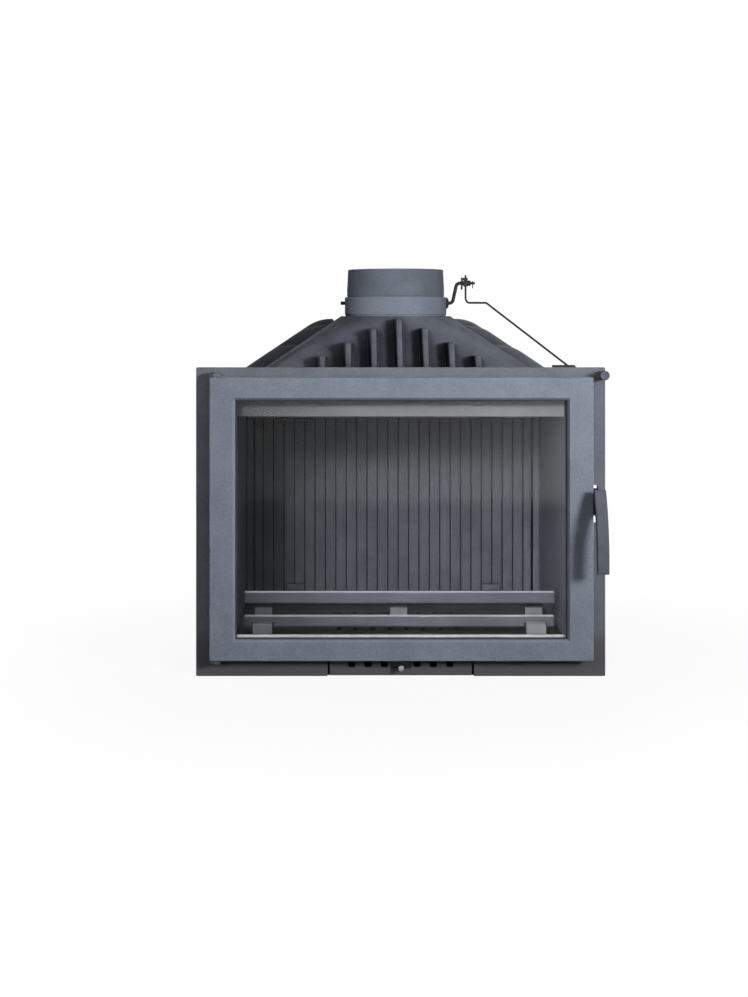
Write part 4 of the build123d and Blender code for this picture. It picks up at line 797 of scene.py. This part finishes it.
def add_card(strength):
    """A grey card that only reflections show. It lays a soft veil on the upper glass."""
    left, right, foot, head = CARD_SIDES + CARD_ENDS
    bpy.ops.mesh.primitive_plane_add(size=1, location=((left + right) / 2, CARD_Y, (foot + head) / 2),
                                     rotation=(math.pi / 2, 0, 0))
    card = bpy.context.object
    card.name = "grey_card"
    card.scale = (right - left, head - foot, 1)
    bpy.ops.object.transform_apply(location=True, rotation=True, scale=True)
    card.visible_camera = card.visible_diffuse = card.visible_shadow = card.visible_transmission = False
    material, tree = new_material("grey_card")
    place = add_node(tree, "ShaderNodeTexCoord").outputs["Object"]
    axes = add_node(tree, "ShaderNodeSeparateXYZ", {"Vector": place})
    across = spread(tree, axes.outputs["X"], left, right, CARD_DIM_SIDE * strength, strength)
    up = spread(tree, axes.outputs["Z"], foot, foot + CARD_SOFT_EDGE)
    level = add_node(tree, "ShaderNodeMath", {0: across, 1: up}, operation="MULTIPLY").outputs[0]
    glow = add_node(tree, "ShaderNodeEmission", {"Strength": level})
    clear = add_node(tree, "ShaderNodeBsdfTransparent")
    both = add_node(tree, "ShaderNodeMixShader", {0: up, 1: clear.outputs[0], 2: glow.outputs[0]})
    add_node(tree, "ShaderNodeOutputMaterial", {"Surface": both.outputs[0]})
    card.data.materials.append(material)


def seen_directly(tree):
    """One for rays that reach the eye straight, by reflection or through the glass, else zero."""
    path = add_node(tree, "ShaderNodeLightPath").outputs
    seen = path["Is Camera Ray"]
    for kind in ("Is Glossy Ray", "Is Transmission Ray"):
        seen = add_node(tree, "ShaderNodeMath", {0: seen, 1: path[kind]}, operation="MAXIMUM").outputs[0]
    # a ray that has met a matt surface on its way only lights it
    return add_node(tree, "ShaderNodeMath", {0: seen, 1: path["Diffuse Depth"]},
                    operation="SUBTRACT", use_clamp=True).outputs[0]


FLOOR_SIZE, FLOOR_Z = 80, -0.0005              # a hair under the insert, so that the two never share a plane
PAPER_FADE, PAPER_GLOW = (0.4, 1.3), 0.92      # where the paper's own shade ends, and how dim it starts


class INSERT_OT_build_stage(bpy.types.Operator):
    """Adds the floor, the light and the camera"""
    bl_idname = "insert.build_stage"
    bl_label = "Build stage"

    def execute(self, context):
        settings = context.scene.insert_stage
        bpy.ops.object.select_all(action="DESELECT")
        bpy.ops.mesh.primitive_plane_add(size=FLOOR_SIZE, location=(0, 0, FLOOR_Z))
        floor = bpy.context.object
        floor.name = "studio_floor"
        bpy.ops.object.transform_apply(location=True, rotation=True, scale=True)
        material, tree = new_material("studio_white_floor")
        place = add_node(tree, "ShaderNodeTexCoord").outputs["Object"]
        away = add_node(tree, "ShaderNodeVectorMath", {0: place}, operation="LENGTH").outputs["Value"]
        # white paper near the object, which still takes its shadow, fading to plain white further out
        paper = add_node(tree, "ShaderNodeBsdfDiffuse", {"Color": linear("#404040")})
        strength = spread(tree, away, *PAPER_FADE, PAPER_GLOW, 1.0)
        glow = add_node(tree, "ShaderNodeEmission", {"Strength": strength})
        bright = add_node(tree, "ShaderNodeAddShader", {0: paper.outputs[0], 1: glow.outputs[0]})
        both = add_node(tree, "ShaderNodeMixShader", {0: seen_directly(tree), 1: paper.outputs[0],
                                                      2: bright.outputs[0]})
        add_node(tree, "ShaderNodeOutputMaterial", {"Surface": both.outputs[0]})
        floor.data.materials.append(material)

        world = bpy.data.worlds.new("studio")
        context.scene.world = world
        world.use_nodes = True
        tree = world.node_tree
        tree.nodes.clear()
        level = spread(tree, seen_directly(tree), 0, 1, settings.fill, 1.0)
        sky = add_node(tree, "ShaderNodeBackground", {"Color": (1, 1, 1, 1), "Strength": level})
        add_node(tree, "ShaderNodeOutputWorld", {"Surface": sky.outputs[0]})

        add_lamps(settings)
        add_card(settings.glare)

        bpy.ops.object.camera_add(location=settings.camera_place, rotation=(math.pi / 2, 0, 0))
        camera = bpy.context.object
        camera.name = "photo_camera"
        camera.data.lens = settings.lens
        camera.data.sensor_width = 36
        camera.data.shift_x, camera.data.shift_y = settings.shift
        camera.data.clip_end = 60
        context.scene.camera = camera
        context.scene.view_settings.view_transform = "Standard"
        return {"FINISHED"}


class INSERT_PT_panel(bpy.types.Panel):
    """Lists the insert's operators"""
    bl_label = "Fireplace insert"
    bl_idname = "INSERT_PT_panel"
    bl_space_type = "VIEW_3D"
    bl_region_type = "UI"
    bl_category = "Fireplace insert"

    def draw(self, context):
        for operator in OPERATORS:
            self.layout.operator(operator.bl_idname)


OPERATORS = (INSERT_OT_finish_castings, INSERT_OT_add_rope_seal, INSERT_OT_add_frame_bolts,
             INSERT_OT_add_clip_screws, INSERT_OT_add_pull_knob, INSERT_OT_build_stage)
SETTINGS = {"insert_finish": FinishSettings, "insert_seal": SealSettings, "insert_bolt": BoltSettings,
            "insert_clip_screw": ClipScrewSettings, "insert_pull_knob": PullKnobSettings,
            "insert_stage": StageSettings}
CLASSES = tuple(SETTINGS.values()) + OPERATORS + (INSERT_PT_panel,)


def register():
    for cls in CLASSES:
        bpy.utils.register_class(cls)
    for name, group in SETTINGS.items():
        setattr(bpy.types.Scene, name, PointerProperty(type=group))


def unregister():
    for name in SETTINGS:
        delattr(bpy.types.Scene, name)
    for cls in reversed(CLASSES):
        bpy.utils.unregister_class(cls)


def main():
    register()
    bpy.ops.insert.finish_castings()
    bpy.ops.insert.add_rope_seal()
    bpy.ops.insert.add_frame_bolts()
    bpy.ops.insert.add_clip_screws()
    bpy.ops.insert.add_pull_knob()
    bpy.ops.insert.build_stage()


if __name__ == "__main__":
    main()
